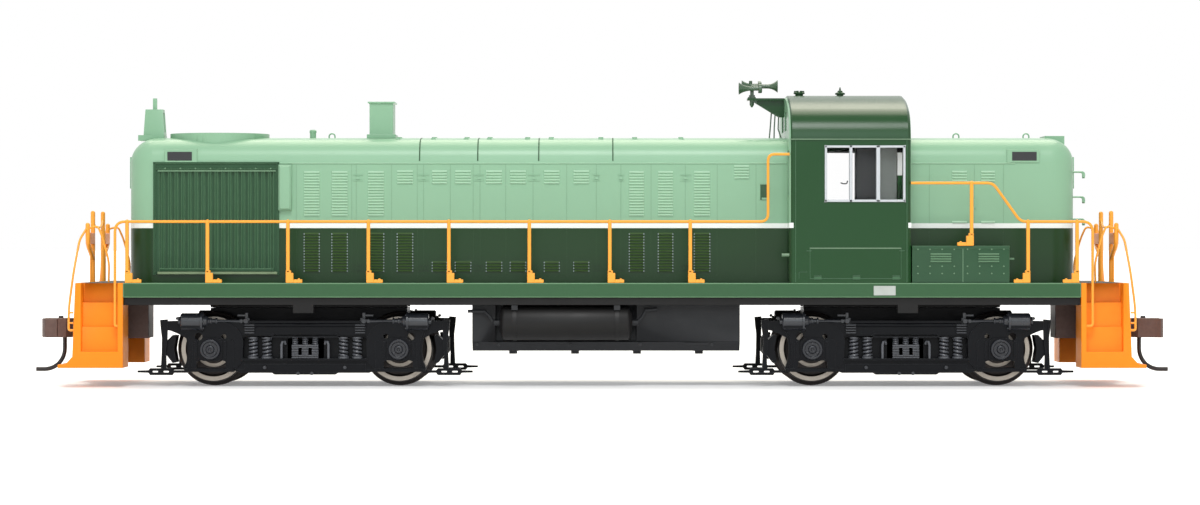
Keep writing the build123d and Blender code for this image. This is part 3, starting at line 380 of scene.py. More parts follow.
# Pieces that cross the truck's middle, then those of one quarter of it.
middle_cast = [plate(both_halves(cast_half), [both_halves(window_half)] + openings
                     + mirror_openings, frame_inner + 0.2, frame_web)]
window_lip = [(x * 1.02, z + 0.25) for x, z in window_half[3:]]
middle_cast += [
    plate(both_halves(list(window_half[3:]) + window_lip[::-1]), [], frame_web - 0.1,
          frame_face - 0.15),
    tube([(-10.8, frame_web - 0.05, 10.75), (10.8, frame_web - 0.05, 10.75)], 0.36, 12),
    slab(-10.9, 10.9, frame_web - 0.1, frame_face - 0.1, 11.1, 11.5),
    slab(-10.9, 10.9, frame_web - 0.1, frame_face + 0.1, 4.6, 4.92),
    slab(-10.6, 10.6, frame_web - 0.1, frame_face - 0.25, 2.55, 3.95),
    slab(-10.9, 10.9, frame_inner - 0.5, frame_inner - 0.2, 4.8, 9.3),
    slab(-3.2, 3.2, 5.0, frame_inner - 0.2, 4.9, 8.4)]
# Leaves: three stacks of thin plates, tied at top and bottom, with a small coil on each.
leaf_foot, leaf_rise, leaf_thickness = 5.0, 0.3, 0.19
stacks = (-1.75, 0, 1.75)
leaves = [slab(x - 0.56, x + 0.56, frame_inner + 0.3, frame_web - 0.1 - 0.2 * (number % 2), z,
               z + leaf_thickness)
          for x in stacks for number, z in enumerate(leaf_foot + leaf_rise * np.arange(8))]
leaves += [coil(x, 12.35, 7.4, 8.65, 0.42, 0.14, 3.5) for x in stacks]
leaves += [slab(-2.31, 2.31, frame_inner + 0.3, frame_web - 0.25, z, z + leaf_thickness)
           for z in leaf_foot + leaf_rise * np.array((0, 1, 6, 7))]
pedestal = ([(20.5, 3.05), (12.1, 3.05), (10.95, 4.4)]
            + round_line((14.5, 7.55), 3.75, 190, 75, 16)
            + [(17.2, 11.0), (20.0, 10.9), (20.9, 10.2), (20.4, 8.8), (20.1, 7.2),
               (20.05, 6.0), (20.2, 4.5)])
step = ([(19.75, 3.3), (12.4, 3.3), (12.25, 7.4)] + round_line((13.2, 7.4), 0.95, 165, 105, 4)
        + [(17.0, 8.32), (18.0, 7.7), (19.6, 7.5), (19.55, 5.6)])
cast = [plate(pedestal, openings, frame_web - 0.1, frame_face - 0.12),
        plate(step, [box_slot], frame_face - 0.2, frame_face + 0.05),
        slab(12.3, 21.05, frame_web - 0.2, frame_face + 0.2, 2.6, 3.15)]
# Axle box: a block between ribs, a round cover with a raised ring, a cap and three bolts.
cast.append(plate([(journal_x - 2.0, 4.9), (journal_x - 1.3, 4.5), (journal_x + 1.3, 4.5),
                   (journal_x + 2.0, 4.9), (journal_x + 2.0, 8.0), (journal_x + 1.3, 8.5),
                   (journal_x - 1.3, 8.5), (journal_x - 2.0, 8.0)], [], frame_face - 0.1,
                  frame_face + 0.4))
cast += [slab(journal_x + rib, journal_x + rib + 0.4, frame_face - 0.1, frame_face + 0.3, 5.0,
              7.9) for rib in (-2.75, 2.35)]
cover = [(frame_face, 0), (frame_face, 1.8), (frame_face + 0.95, 1.8), (frame_face + 1.1, 1.7),
         (frame_face + 1.1, 1.35), (frame_face + 0.85, 1.28), (frame_face + 0.85, 0.75),
         (frame_face + 1.15, 0.65), (frame_face + 1.2, 0.5), (frame_face + 1.2, 0.28),
         (frame_face + 1.0, 0.22), (frame_face + 1.0, 0)]
covers = [turned(cover, (journal_x, 0, axle_height), 1, 48)]
bolts = [disc((x, 0, z), 0.2, frame_face + 0.8, frame_face + 1.08, 1, 8)
         for angle in (215, 325, 90)
         for x, z in round_line((journal_x, axle_height), 1.03, angle, angle, 1)]
# Plank bolts, and the ribbed pad below the push rod's clevis.
bolts += [disc((7.0, 0, 3.35), 0.3, frame_face - 0.3, frame_face + 0.1, 1, 12),
          disc((1.2, 0, 2.3), 0.3, frame_web - 0.1, frame_face - 0.1, 1, 12)]
cast.append(slab(8.7, 10.6, frame_web - 0.1, frame_face - 0.2, 9.2, 11.0))
bolts += [slab(8.8, 10.5, frame_face - 0.3, frame_face + 0.12, z, z + 0.22)
          for z in (9.3, 9.75, 10.2, 10.65)]
# Brake cylinder with flanges, its neck, then the coupling, push rod and clevises.
rod_y, rod_z = 13.3, 11.45
cylinder = [(17.75, 0), (17.75, 1.72), (18.15, 1.72), (18.15, 1.5), (21.45, 1.5), (21.65, 1.3),
            (21.65, 0.5), (22.1, 0.5), (22.1, 0)]
bolts.append(turned(cylinder, (0, rod_y, rod_z - 0.1), 0, 36))
cast.append(slab(18.1, 21.5, rod_y - 1.4, rod_y + 1.35, 10.2, 11.0))
stem = [(16.6, 0), (16.6, 0.5), (16.9, 0.62), (17.1, 0.95), (17.8, 1.1), (17.8, 0)]
joint = [(15.3, 0), (15.3, 0.6), (15.6, 0.6), (15.65, 0.4), (16.2, 0.4), (16.25, 0.6),
         (16.6, 0.6), (16.6, 0)]
bolts += [turned(form, (0, rod_y - 0.3, rod_z), 0, 20) for form in (stem, joint)]
bolts.append(tube([(11.2, rod_y - 0.3, rod_z), (15.4, rod_y - 0.3, rod_z)], 0.27, 10))
bolts += [slab(9.9, 11.4, rod_y - 0.75, rod_y + 0.1, rod_z - 0.3, rod_z + 0.3),
          slab(9.7, 10.2, rod_y - 0.9, rod_y - 0.1, rod_z - 0.6, rod_z + 0.55),
          slab(10.1, 11.9, rod_y - 1.4, rod_y - 0.9, rod_z + 0.8, rod_z + 1.15),
          slab(10.0, 10.5, rod_y - 1.4, rod_y - 0.8, rod_z + 0.3, rod_z + 1.45)]
bolts += [disc((10.3, 0, rod_z), 0.42, rod_y - 0.8, rod_y + 0.3, 1, 14),
          disc((11.1, 0, rod_z), 0.34, rod_y - 0.8, rod_y + 0.25, 1, 12),
          disc((22.3, 0, rod_z + 0.45), 0.28, rod_y - 1.0, rod_y - 0.2, 1, 12)]
bolts += [disc((0, y, z), 0.17, 17.55, 17.8, 0, 6)
          for y, z in round_line((rod_y, rod_z - 0.1), 1.35, 0, 300, 6)]
# Bracket arm, hanger, brake head and the lower rods with their oval eyes.
cast += [plate([(20.5, 11.55), (24.3, 11.45), (24.3, 9.9), (23.5, 9.75), (22.1, 9.2),
                (20.5, 8.3)], [], 12.0, 12.95),
         plate([(24.05, 11.75), (25.3, 11.65), (25.2, 10.3), (24.95, 8.5), (25.0, 6.0),
                (25.15, 2.9), (24.25, 2.9), (24.3, 5.6), (24.1, 8.0), (24.05, 9.9)], [], 12.1,
               13.0),
         plate([(25.0, 11.6), (25.3, 11.6), (25.2, 10.3), (24.98, 8.5), (25.02, 6.0),
                (25.15, 3.1), (24.9, 3.1), (24.75, 6.0), (24.72, 8.5)], [], 12.9, 13.2),
         plate([(24.3, 7.9), (23.2, 9.0), (22.55, 8.9), (22.95, 6.6), (22.55, 4.2),
                (23.2, 4.1), (24.3, 5.5)], [], 8.2, 12.4)]
eye_ring = round_line((0.35, 0), 0.14, -90, 90, 7) + round_line((-0.35, 0), 0.14, 90, 270, 7)
rod_outline = [(20.5, 2.4), (22.9, 2.4), (23.2, 2.0), (27.1, 2.0), (27.4, 2.4), (29.3, 2.45),
               (29.3, 2.8), (27.4, 2.85), (27.1, 3.2), (23.2, 3.2), (22.9, 2.85), (20.5, 2.85)]
eyes = [[(x + place_x, z + 2.6) for x, z in eye_ring] for place_x in (24.3, 26.2)]
cast.append(plate(rod_outline, eyes, 12.3, 12.75))
# Two coil springs on turned seats.
spring_y = 12.4
sprung = []
for x in (6.7, 9.1):
    sprung.append(coil(x, spring_y, 5.3, 8.4, 0.66, 0.2, 4.75))
    sprung += [disc((x, spring_y, 0), 0.95, low, high, 2, 24)
               for low, high in ((4.85, 5.25), (8.4, 8.65))]
# The hooked hanger strap beside the leaves.
sprung.append(tube([(4.1, spring_y + 0.6, 4.9), (4.1, spring_y + 0.6, 7.3),
                    (3.95, spring_y + 0.5, 7.8), (3.6, spring_y + 0.2, 7.9),
                    (3.45, spring_y, 7.4)], 0.23, 8))
for end, truck_place in trucks.items():
    for name, forms, material, bevel, edges in (
            ("side_frames", both_sides(middle_cast + both_sides(cast, 0)), truck_black, 0.1,
             highlit_edges),
            ("springs", both_sides(leaves + both_sides(sprung, 0)), spring_black, 0, None),
            ("journal_covers", both_sides(both_sides(covers, 0)), cover_black, 0.05, None),
            ("brake_rigging", both_sides(both_sides(bolts, 0)), rigging_black, 0.05, None)):
        piece(f"{name}_{end}", [moved(form, truck_place) for form in forms],
              material, [f"truck_side_frames_{end}"] if edges else (), bevel, edges=edges,
              body=f"truck_{end}")

# ---------------------------------------------------------------- gearboxes and underframe
# The gearbox halves snap round the axles. The deck's black underframe, the fuel tank and the
# air reservoirs are one dull black moulding with slightly brushed-looking faces.
under_black = finish("underframe_black", (38, 39, 42), rough=0.5, mottle=0.25,
                     mottle_size=3.0, grain=0.25, grain_depth=0.03, specular=0.3)
chassis_black = finish("chassis_black", (29, 28, 28), rough=0.42, mottle=0.25, mottle_size=3.0,
                       grain=0.25, grain_depth=0.03, specular=0.2)


def softened(node_name, material, bevel, edges=None, body="locomotive"):
    """A copy of a CAD node whose doubles are merged and whose edges are rounded a little. Its
    flat faces are joined first, and those with over four corners cut into triangles after."""
    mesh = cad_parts[node_name].data.copy()
    shell = bmesh.new()
    shell.from_mesh(mesh)
    bmesh.ops.remove_doubles(shell, verts=shell.verts, dist=0.002 * mm)
    bmesh.ops.dissolve_limit(shell, angle_limit=math.radians(1.0), verts=shell.verts,
                             edges=shell.edges)
    wide = [face for face in shell.faces if len(face.verts) > 4]
    bmesh.ops.triangulate(shell, faces=wide, ngon_method="EAR_CLIP")
    shell.to_mesh(mesh)
    shell.free()
    shade(mesh, 35)
    place(f"{node_name}_moulding", mesh, material, [node_name], bevel, edges, body)


for end in trucks:
    softened(f"truck_gearbox_{end}", truck_black, 0.25,
             body=f"truck_{end}")
softened("chassis", chassis_black, 0.12)
wear(finish("weight_metal", (104, 106, 110), rough=0.5, metal=0.7, mottle=0.3,
            mottle_size=2.5), "weight_block")
softened("fuel_tank", under_black, 0.3)

skirts = [(place_x - 17.4, place_x + 17.4, place_y - 0.8, place_y + 0.8, 13.7, 14.35)
          for place_x in trucks.values() for place_y in (-4.0, 4.0)]
piece("bolster_skirts", [bars(skirts)], under_black)

reservoir_y, reservoir_z, reservoir_radius, dome_depth = 14.0, 11.2, 3.05, 0.9
low, high = -17.9, 5.3
dome = [(low + dome_depth * (1 - math.cos(a)), reservoir_radius * math.sin(a))
        for a in np.linspace(0, math.pi / 2, 8)]
shell_profile = [(low, 0)] + dome[1:] + [(high + low - x, r) for x, r in dome[::-1]]
reservoirs = [turned(shell_profile, (0, reservoir_y, reservoir_z), 0, 48)]
tank_fittings = []
strap_radius = reservoir_radius + 0.07
for strap in (-15.2, 2.6):
    ring = [(strap - 0.35, 0), (strap - 0.35, strap_radius), (strap + 0.35, strap_radius),
            (strap + 0.35, 0)]
    reservoirs += [turned(ring, (0, reservoir_y, reservoir_z), 0, 48),
                   slab(strap - 0.7, strap + 0.7, reservoir_y - 3.1, reservoir_y, reservoir_z,
                        reservoir_z + 3.1)]
    tank_fittings.append(slab(strap - 0.55, strap + 0.55, reservoir_y + 1.9, reservoir_y + 2.5,
                              13.4, 14.4))
tank_fittings += [disc((0, reservoir_y, reservoir_z), 0.55, plug, plug + 1.2, 0, 16)
                  for plug in (low - 1.0, high - 0.2)]
piece("reservoir_shells", both_sides(reservoirs), chassis_black,
      ["air_reservoirs"])
# Bolt heads along the tank, the two pipes to the reservoirs, and a rib.
tank_fittings += [disc((x, 0, 7.3), 0.28, 12.45, 12.62, 1, 10)
                  for x in (-21.9, -18.0, -5.6, 6.7, 19.2)]
tank_fittings += [tube(path, 0.3, 8) for path in (
    [(-23.4, 14.2, 13.2), (-20.5, 14.2, 13.2), (-19.6, 14.2, 12.4), (-19.0, 14.2, 11.4)],
    [(6.2, 14.1, 11.4), (7.0, 14.1, 12.2), (7.6, 14.1, 13.4), (9.6, 14.1, 13.6)])]
tank_fittings.append(slab(14.2, 18.6, 12.4, 12.6, 7.35, 7.55))
piece("tank_fittings", both_sides(tank_fittings), under_black, bevel=0.05)

# ---------------------------------------------------------------- deck, pilots and steps
# The walkway is a dark green moulding with a fine tread on top; each end's pilot, steps and
# footboards are one orange moulding. The blank placard on the sill is painted on.
deck_green = finish("deck_green", (40, 87, 48), rough=0.3, mottle=0.14, grain=0.15,
                    specular=0.4)
orange = finish("safety_orange", (255, 146, 26), rough=0.42, mottle=0.08, grain=0.15,
                specular=0.25)
dark_tread = finish("tread_grey", (84, 90, 88), rough=0.7, mottle=0.4, mottle_size=0.6,
                    grain=0.3, grain_depth=0.08)
placard_white = finish("placard_white", (190, 196, 190), rough=0.5, mottle=0.2)
# The walkway's bevelled edges take a lighter green: a painted highlight along them.
deck_edge = finish("deck_edge", (112, 152, 114), rough=0.35, mottle=0.3, mottle_size=2,
                   specular=0.3)
softened("walkway", deck_green, 0.16, deck_edge)
softened("pilots", orange, 0.1)
deck_top = 18.15
treads = [(low, high, -17.2, 17.2, deck_top - 0.02, deck_top + 0.05)
          for low, high in ((-90.2, -83.4), (83.4, 90.2))]
piece("end_platform_treads", [bars(treads)], dark_tread)
piece("sill_placards", both_sides([slab(47.1, 50.9, 17.45, 17.6, 16.0, 17.65)]),
      placard_white, bevel=0.05)

# ---------------------------------------------------------------- couplers
# Cast in a brown-grey metal: draft gear boxes, swinging shanks with knuckle heads, and a
# blackened wire that hangs below each knuckle for uncoupling over a magnet.
coupler_brown = finish("coupler_brown", (104, 84, 78), rough=0.48, metal=0.35, mottle=0.35,
                       mottle_size=0.7, grain=0.15, grain_depth=0.04)
blackened_wire = finish("blackened_wire", (58, 54, 54), rough=0.35, metal=0.7, mottle=0.3)
softened("coupler_boxes", coupler_brown, 0.1)
for end in ("front", "rear"):
    softened(f"coupler_{end}", coupler_brown, 0.18, body=f"coupler_{end}")
    softened(f"knuckle_{end}", coupler_brown, 0.22, body=f"coupler_{end}")


def bend_round(points, bends, steps=7):
    """A route with each inner corner c replaced by the curve (1-t)^2 a + 2t(1-t) c + t^2 b,
    where a and b lie the bend's length from c towards its neighbours."""
    points = np.asarray(points, float)
    bends = np.asarray(bends, float)[:, None]
    corner = points[1:-1]
    back = points[:-2] - corner
    ahead = points[2:] - corner
    start = corner + back / np.linalg.norm(back, axis=1)[:, None] * bends
    stop = corner + ahead / np.linalg.norm(ahead, axis=1)[:, None] * bends
    t = np.linspace(0, 1, steps)[None, :, None]
    curve = ((1 - t) ** 2 * start[:, None] + 2 * t * (1 - t) * corner[:, None]
             + t ** 2 * stop[:, None])
    return np.concatenate((points[:1], curve.reshape(-1, 3), points[-1:]))


trip_pin = np.array([(95.9, 0, 8.6), (95.9, 0, 4.6), (98.1, 0, 2.6), (101.0, 0, 2.6)])
for end, sign in (("front", 1), ("rear", -1)):
    wire = bend_round(trip_pin * (sign, 1, 1), (1.8, 1.5), 10)
    piece(f"trip_pin_wire_{end}", [tube(wire, 0.38, 14)], blackened_wire,
          [f"trip_pin_{end}"], body=f"coupler_{end}")
    piece(f"knuckle_pin_{end}", [disc((sign * 96.9, 1.9, 0), 0.45, 11.6, 12.05, 2, 16)],
          blackened_wire, body=f"coupler_{end}")

# ---------------------------------------------------------------- hoods
# One glossy painted moulding each: light green over dark green with a white stripe between,
# and on their sides the doors' louvres, hinges, latches and seams.
stripe_bottom, stripe_top = 27.7, 28.55
hood_light = (140, 181, 149)
hood_dark = (14, 53, 14)
stripe_colour = (236, 240, 236)
cab_colour = (16, 64, 24)
hood_side = 10.75
hood_spans = ((-56.5, 32.4), (53.7, 72.5))
even_paint = {"grain": 0.2, "grain_depth": 0.012, "specular": 0.32}


def banded_paint(name, plain=None, light=hood_light, dark=hood_dark, rough=0.3):
    """The hood paint: its colour steps from dark green to white to light green with height.
    Between the two places along X that are given, it is the cab's plain green instead."""
    material = finish(name, light, rough=rough, mottle=0.05, mottle_size=6, **even_paint)
    tree = material.node_tree
    shader = tree.nodes["Principled BSDF"]
    colour = shader.inputs["Base Color"].links[0].from_socket
    spot = added(tree, "TexCoord", "Object")
    along, height = [added(tree, "SeparateXYZ", axis, {"Vector": spot}) for axis in "XZ"]
    for level, below in ((stripe_top, stripe_colour), (stripe_bottom, dark)):
        above = added(tree, "Math", "Value", {0: height, 1: level * mm},
                      operation="GREATER_THAN")
        colour = added(tree, "Mix", "Result", {"Factor": above, "A": from_srgb(below),
                                               "B": colour}, data_type="RGBA")
    if plain:
        inside = added(tree, "Math", "Value", {0: along, 1: sum(plain) / 2 * mm,
                                               2: (plain[1] - plain[0]) / 2 * mm},
                       operation="COMPARE")
        colour = added(tree, "Mix", "Result", {"Factor": inside, "A": colour,
                                               "B": from_srgb(cab_colour)}, data_type="RGBA")
    feed(tree, shader, {"Base Color": colour})
    return material


hood_paint = banded_paint("hood_paint")
roof_green = finish("roof_green", hood_light, rough=0.3, mottle=0.05, mottle_size=6,
                    **even_paint)
cab_green = finish("cab_green", cab_colour, rough=0.24, mottle=0.1, mottle_size=4, **even_paint)
dark_line = finish("seam_shadow", (60, 92, 66), rough=0.8, mottle=0.2)
for name in ("long_hood", "short_hood"):
    wear(hood_paint, name)
    shade(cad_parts[name].data, 32)


sunk = 0.05


def on_side(skin, proud, rows):
    """Strips on a flat side: boxes from rows of (x0, x1, z0, z1), which reach from sunk below
    the side's Y to proud of it."""
    return bars([(x0, x1, skin - sunk, skin + proud, z0, z1) for x0, x1, z0, z1 in rows])


louvre_pitch, louvre_depth = 0.5, 0.24


def louvres(groups):
    """Slats on a hood side, from groups of (x0, x1, z0, z1): slat k is a wedge from height
    z0 + k * pitch, proud at its lower lip, to 0.82 of a pitch above it, where it is flush."""
    rows = []
    for x0, x1, z0, z1 in groups:
        count = int(round((z1 - z0) / louvre_pitch))
        z = z0 + louvre_pitch * np.arange(count)
        rows.append(np.stack((np.full(count, x0), np.full(count, x1), z,
                              z + louvre_pitch * 0.82), 1))
    x0, x1, low, high = np.concatenate(rows).T
    flush = np.full_like(low, hood_side - sunk)
    proud = np.full_like(low, hood_side + louvre_depth)
    points = np.stack([np.stack(corner, 1) for corner in (
        (x0, flush, high), (x1, flush, high), (x0, flush, low), (x1, flush, low),
        (x0 + 0.06, proud, low + 0.07), (x1 - 0.06, proud, low + 0.07))], 1)
    return points.reshape(-1, 3), (
        repeated([[0, 1, 5, 4], [2, 4, 5, 3], [0, 2, 3, 1]], 6, len(low))
        + repeated([[0, 4, 2], [1, 3, 5]], 6, len(low)))


upper, lower = (29.85, 37.85), (20.05, 27.1)
short_upper, short_lower = (35.5, 38.0), (20.05, 22.3)
tall_columns = [(-52.26, -49.54), (-47.4, -44.62), (-41.04, -38.23), (4.74, 7.37),
                (9.82, 12.45), (16.13, 18.94)]
short_columns = [(-29.81, -27.18), (-25.78, -22.97), (-20.34, -17.54), (-16.13, -13.33),
                 (-10.17, -7.45), (-5.0, -2.28)]
lone_column = [(-35.95, -33.15)]
groups = [column + upper for column in tall_columns]
groups += [column + lower for column in tall_columns + lone_column]
groups += [column + short_upper for column in short_columns + lone_column]
groups += [column + short_lower for column in short_columns]
groups += [(23.15, 25.78, 36.4, 38.7), (61.38, 64.01, 35.9, 37.9), (66.47, 68.92, 35.9, 37.9),
           (61.38, 64.01, 28.6, 29.2), (66.47, 68.92, 28.6, 29.2)]
# The slats are painted lighter than the hood around them, as the highlight on their lips.
piece("hood_louvres", both_sides([louvres(groups)]),
      banded_paint("louvre_paint", light=(172, 207, 178), dark=(52, 79, 33)), sharp=20)
# Below the stripe, both tips of each slat are marked pale.
tips = [(x, x + 0.16, z, z + 0.22) for x0, x1, low, high in groups if high < stripe_bottom
        for x in (x0 - 0.04, x1 - 0.12) for z in np.arange(low, high - 0.3, louvre_pitch)]
piece("louvre_tips", both_sides([on_side(hood_side, 0.22, tips)]),
      finish("pale_tips", (164, 180, 184), rough=0.35, mottle=0.5, mottle_size=0.8))

# Door seams stand as the thinnest of ridges; a batten and a bead run under the shoulder.
seams = [(x - 0.06, x + 0.06, 19.4, 38.9) for x in (
    -53.6, -43.9, -43.1, -36.9, -32.4, -31.3, -26.6, -22.6, -21.4, -16.9, -12.1, -6.2, -1.0, 3.3,
    8.6, 14.6, 20.2, 27.0, 57.4, 65.3, 70.4)]
battens = [span + (38.86, 38.95) for span in hood_spans]
beads = [span + (39.02, 39.2) for span in hood_spans]
piece("hood_door_seams", both_sides([on_side(hood_side, 0.035, seams),
                                     on_side(hood_side, 0.04, battens)]),
      banded_paint("seam_paint", light=(128, 166, 136), dark=(20, 58, 20)))
# The bead is painted paler than the hood: a highlight along it.
piece("hood_shoulder_beads", both_sides([on_side(hood_side, 0.1, beads)]),
      finish("bead_green", (160, 202, 168), rough=0.3, mottle=0.1), bevel=0.04)
# Each latch column has hinge lines and two handles; a sunk handle has a rim of its own.
fittings = []
for x0, x1 in ((-43.67, -41.92), (-32.27, -30.34), (-22.45, -20.69), (-12.98, -10.87),
               (-1.58, -0.35), (2.81, 3.86), (13.68, 15.61)):
    middle = (x0 + x1) / 2
    fittings += [on_side(hood_side, 0.12, [(x0, x1, z, z + 0.13)
                                           for z in (36.95, 36.0, 21.1, 20.25)]),
                 on_side(hood_side, 0.16, [(middle - 0.3, middle + 0.3, z, z + 0.5)
                                           for z in (36.25, 20.4)])]
fittings += [on_side(hood_side, proud, rows) for proud, rows in (
    (0.06, [hood_spans[0] + (18.2, 19.2)]),
    (0.1, [(-55.12, -54.88, 35.9, 37.2), (57.88, 58.12, 35.9, 37.2), (27.62, 27.75, 32.6, 35.4),
           (29.25, 29.38, 32.6, 35.4), (27.62, 29.38, 35.35, 35.48)]),
    (0.2, [(28.0, 29.0, 32.7, 33.05)]),
    (0.25, [(65.25, 65.6, 31.2, 32.8)]))]
piece("hood_door_fittings", both_sides(fittings), hood_paint)
# The sunk handle's recess is a flat plate in a dark green that is painted shade.
recess = on_side(hood_side, 0.02, [(27.75, 29.25, 32.65, 35.35)])
piece("hood_handle_recess", both_sides([recess]), dark_line)

# ---------------------------------------------------------------- hood roofs
# Hatches with dark seams between them and small clips at their edges, lifting eyes, a vent,
# the exhaust stack, the bell and the radiator's duct and fan shroud: all are moulded in the
# hoods' green and set into the roofs.
roof_top, shoulder_z, shoulder_radius = 43.8, 39.2, 4.2


def over_roof(y):
    """Height of the hood's roof at y: a shallow crown, top - R + sqrt(R^2 - y^2), that runs
    smoothly into the round shoulder, shoulder + sqrt(r^2 - (y - side)^2)."""
    side, rise, corner = hood_side - shoulder_radius, roof_top - shoulder_z, shoulder_radius
    crown = (side ** 2 + rise ** 2 - corner ** 2) / (2 * (rise - corner))
    joint = side + corner * side / math.hypot(side, crown - rise)
    reach = np.abs(np.asarray(y, float))
    crown_height = roof_top - crown + np.sqrt(crown ** 2 - np.minimum(reach, joint) ** 2)
    outside = np.maximum(reach, side) - side
    round_height = shoulder_z + np.sqrt(np.maximum(corner ** 2 - outside ** 2, 0))
    return np.where(reach < joint, crown_height, round_height)


def roof_band(x, half_width=0.11, sink=0.1, proud=0.03, steps=61):
    """A band across the roof: at each point of the arch it has four corners, the roof's point
    moved half the width either way along X, and by -sink or proud along the outward normal."""
    y = (hood_side - 0.01) * np.sin(np.linspace(-1, 1, steps) * math.pi / 2)
    z = over_roof(y)
    outward = np.stack((np.zeros_like(y), np.gradient(z), -np.gradient(y)), 1)
    outward /= -np.linalg.norm(outward, axis=1)[:, None]
    base = np.stack((np.zeros_like(y), y, z), 1)
    rings = [base + outward * height + (x + across, 0, 0)
             for across, height in ((-half_width, -sink), (-half_width, proud),
                                    (half_width, proud), (half_width, -sink))]
    points = np.stack(rings, 1).reshape(-1, 3)
    last = len(points) - 4
    return points, grid_faces(steps, 4, True) + [[0, 1, 2, 3], [last + 3, last + 2, last + 1,
                                                                last]]


piece("roof_hatch_seams", [roof_band(x) for x in (-32.0, -21.8, -11.1, 1.9)],
      dark_line)
clips = [(x - 0.45, x + 0.45, y - 0.3, y + 0.3, over_roof(y) - 0.3, over_roof(y) + 0.18)
         for x in (-36.0, -29.8, -24.0, -19.9, -13.2, -9.0, -0.2, 5.8, 14.0) for y in (2.2, 6.6)]
piece("roof_hatch_clips", both_sides([bars(clips)]), roof_green, bevel=0.08)
eyes = []
for x in (-48.2, 63.2, 75.7):
    arch = [(across, 0, z) for across, z in round_line((x, 44.1), 0.52, 0, 180, 14)]
    legs = [[(x + foot, 0, 43.5), (x + foot, 0, 44.12)] for foot in (-0.52, 0.52)]
    eyes += [tube(path, 0.13, 8) for path in (arch, *legs)]
piece("roof_lift_eyes", eyes, roof_green, ["lift_eyes"])
vent = [(43.4, 0), (43.4, 0.55), (44.7, 0.55), (44.75, 0.62), (45.15, 0.62), (45.3, 0.45),
        (45.3, 0)]
piece("roof_vent", [turned(vent, (-51.6, 0, 0), 2, 24)], roof_green)
for name, bevel in (("exhaust_stack", 0.08), ("bell", 0.08), ("visor", 0.08),
                    ("fan_shroud", 0.06), ("radiator_ducts", 0.06)):
    softened(name, roof_green, bevel)
wear(finish("fan_black", (48, 60, 52), rough=0.5, mottle=0.2), "radiator_fan")

# ---------------------------------------------------------------- number boards and lamps
# Each board is a moulded box with a blank black face, glued to the hood's shoulder. The
# lamps are pairs of clear lenses pushed into a housing at each hood's end.
board_black = finish("board_black", (32, 32, 36), rough=0.3, mottle=0.2)
softened("number_boards", roof_green, 0.06)
boards = [(x0, x1, 10.6, 11.02, 39.54, 41.07) for x0, x1 in ((-76.2, -71.9), (71.9, 76.2))]
piece("number_board_faces", both_sides([bars(boards)]), board_black, bevel=0.03)
wear(hood_paint, "headlights")
wear(finish("lamp_lens", (225, 226, 214), rough=0.12, mottle=0.1, coat=0.5),
     "headlight_lenses")

# ---------------------------------------------------------------- radiator shutters
# The shutters that let air to the radiators: one dark green moulding a side, corrugated
# across, in a shallow frame with rivets along its top and a ledge below.
# The lighter greens here are painted highlights: on the slats' and frame's bevelled edges, on
# the rivets and the strip along the top, and on the ledge below.
shutter_green = finish("shutter_green", (42, 80, 52), rough=0.42, mottle=0.2, mottle_size=2,
                       grain=0.15, specular=0.25)
shutter_edge = finish("shutter_edge", (84, 122, 90), rough=0.4, mottle=0.3, specular=0.25)
highlit_green = finish("highlit_green", (112, 148, 116), rough=0.4, mottle=0.3, specular=0.3)
ledge_green = finish("ledge_green", (142, 164, 124), rough=0.4, mottle=0.35, mottle_size=1.5)
softened("radiator_shutters", shutter_green, 0.1, shutter_edge)
trim = [on_side(hood_side, 0.25, [(-78.7, -78.3, 19.5, 39.2), (-57.0, -56.6, 19.5, 39.2),
                                  (-78.7, -56.6, 39.0, 39.3)]),
        on_side(hood_side, 0.2, [(-78.2, -57.2, 37.95, 38.15)])]
piece("shutter_trim", both_sides(trim), shutter_green, bevel=0.05,
      edges=shutter_edge)
rivets = [disc((x, 0, 38.16), 0.14, hood_side - sunk, hood_side + 0.35, 1, 8)
          for x in np.arange(-76.56, -58, 2.64)]
rivets.append(on_side(hood_side, 0.25, [(-77.9, -57.2, 37.62, 37.86)]))
piece("shutter_rivets", both_sides(rivets), highlit_green)
ledge = on_side(hood_side, 0.6, [(-77.9, -56.9, 19.6, 20.05)])
piece("shutter_ledge", both_sides([ledge]), ledge_green, bevel=0.06)

# ---------------------------------------------------------------- cab
# A hollow dark green moulding with a rounded roof, glazed side windows in silver frames,
# hinged access panels low on each side, and cabinets behind the crew inside.
cab_side = 17.5
cab_ends = (32.75, 53.55)
wear(banded_paint("cab_paint", cab_ends, rough=0.24), "cab_walls", "cab_roof")
wear(cab_green, "horn_bracket")
shade(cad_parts["cab_roof"].data, 40)
silver = finish("window_silver", (196, 200, 204), rough=0.38, mottle=0.15, mottle_size=0.8,
                grain=0.1, metal=0.2)
window_posts = ((42.88, 43.4), (47.54, 48.2))
# The far side has one post fewer: its wide pane slides open as one.
for which, side, posts in (("near", -1, window_posts), ("far", 1, window_posts[1:])):
    depth = tuple(sorted((side * (cab_side - 1.0), side * (cab_side + 0.25))))
    rows = [column + depth + (32.2, 42.0) for column in ((38.6, 39.0), (52.2, 52.6)) + posts]
    rows += [(38.6, 52.6) + depth + edge for edge in ((32.2, 32.62), (41.62, 42.0))]
    piece(f"window_frame_{which}", [bars(rows)], silver,
          ["window_frames"] if side < 0 else (), bevel=0.06)
glass = bpy.data.materials.new("window_glass")
glass.use_nodes = True
tree = glass.node_tree
haze = added(tree, "TexNoise", "Fac", {"Scale": 400})
feed(tree, tree.nodes["Principled BSDF"], {
    "Base Color": (1, 1, 1, 1), "Transmission Weight": 1, "IOR": 1.12,
    "Roughness": added(tree, "MapRange", "Result", {"Value": haze, "To Max": 0.04})})
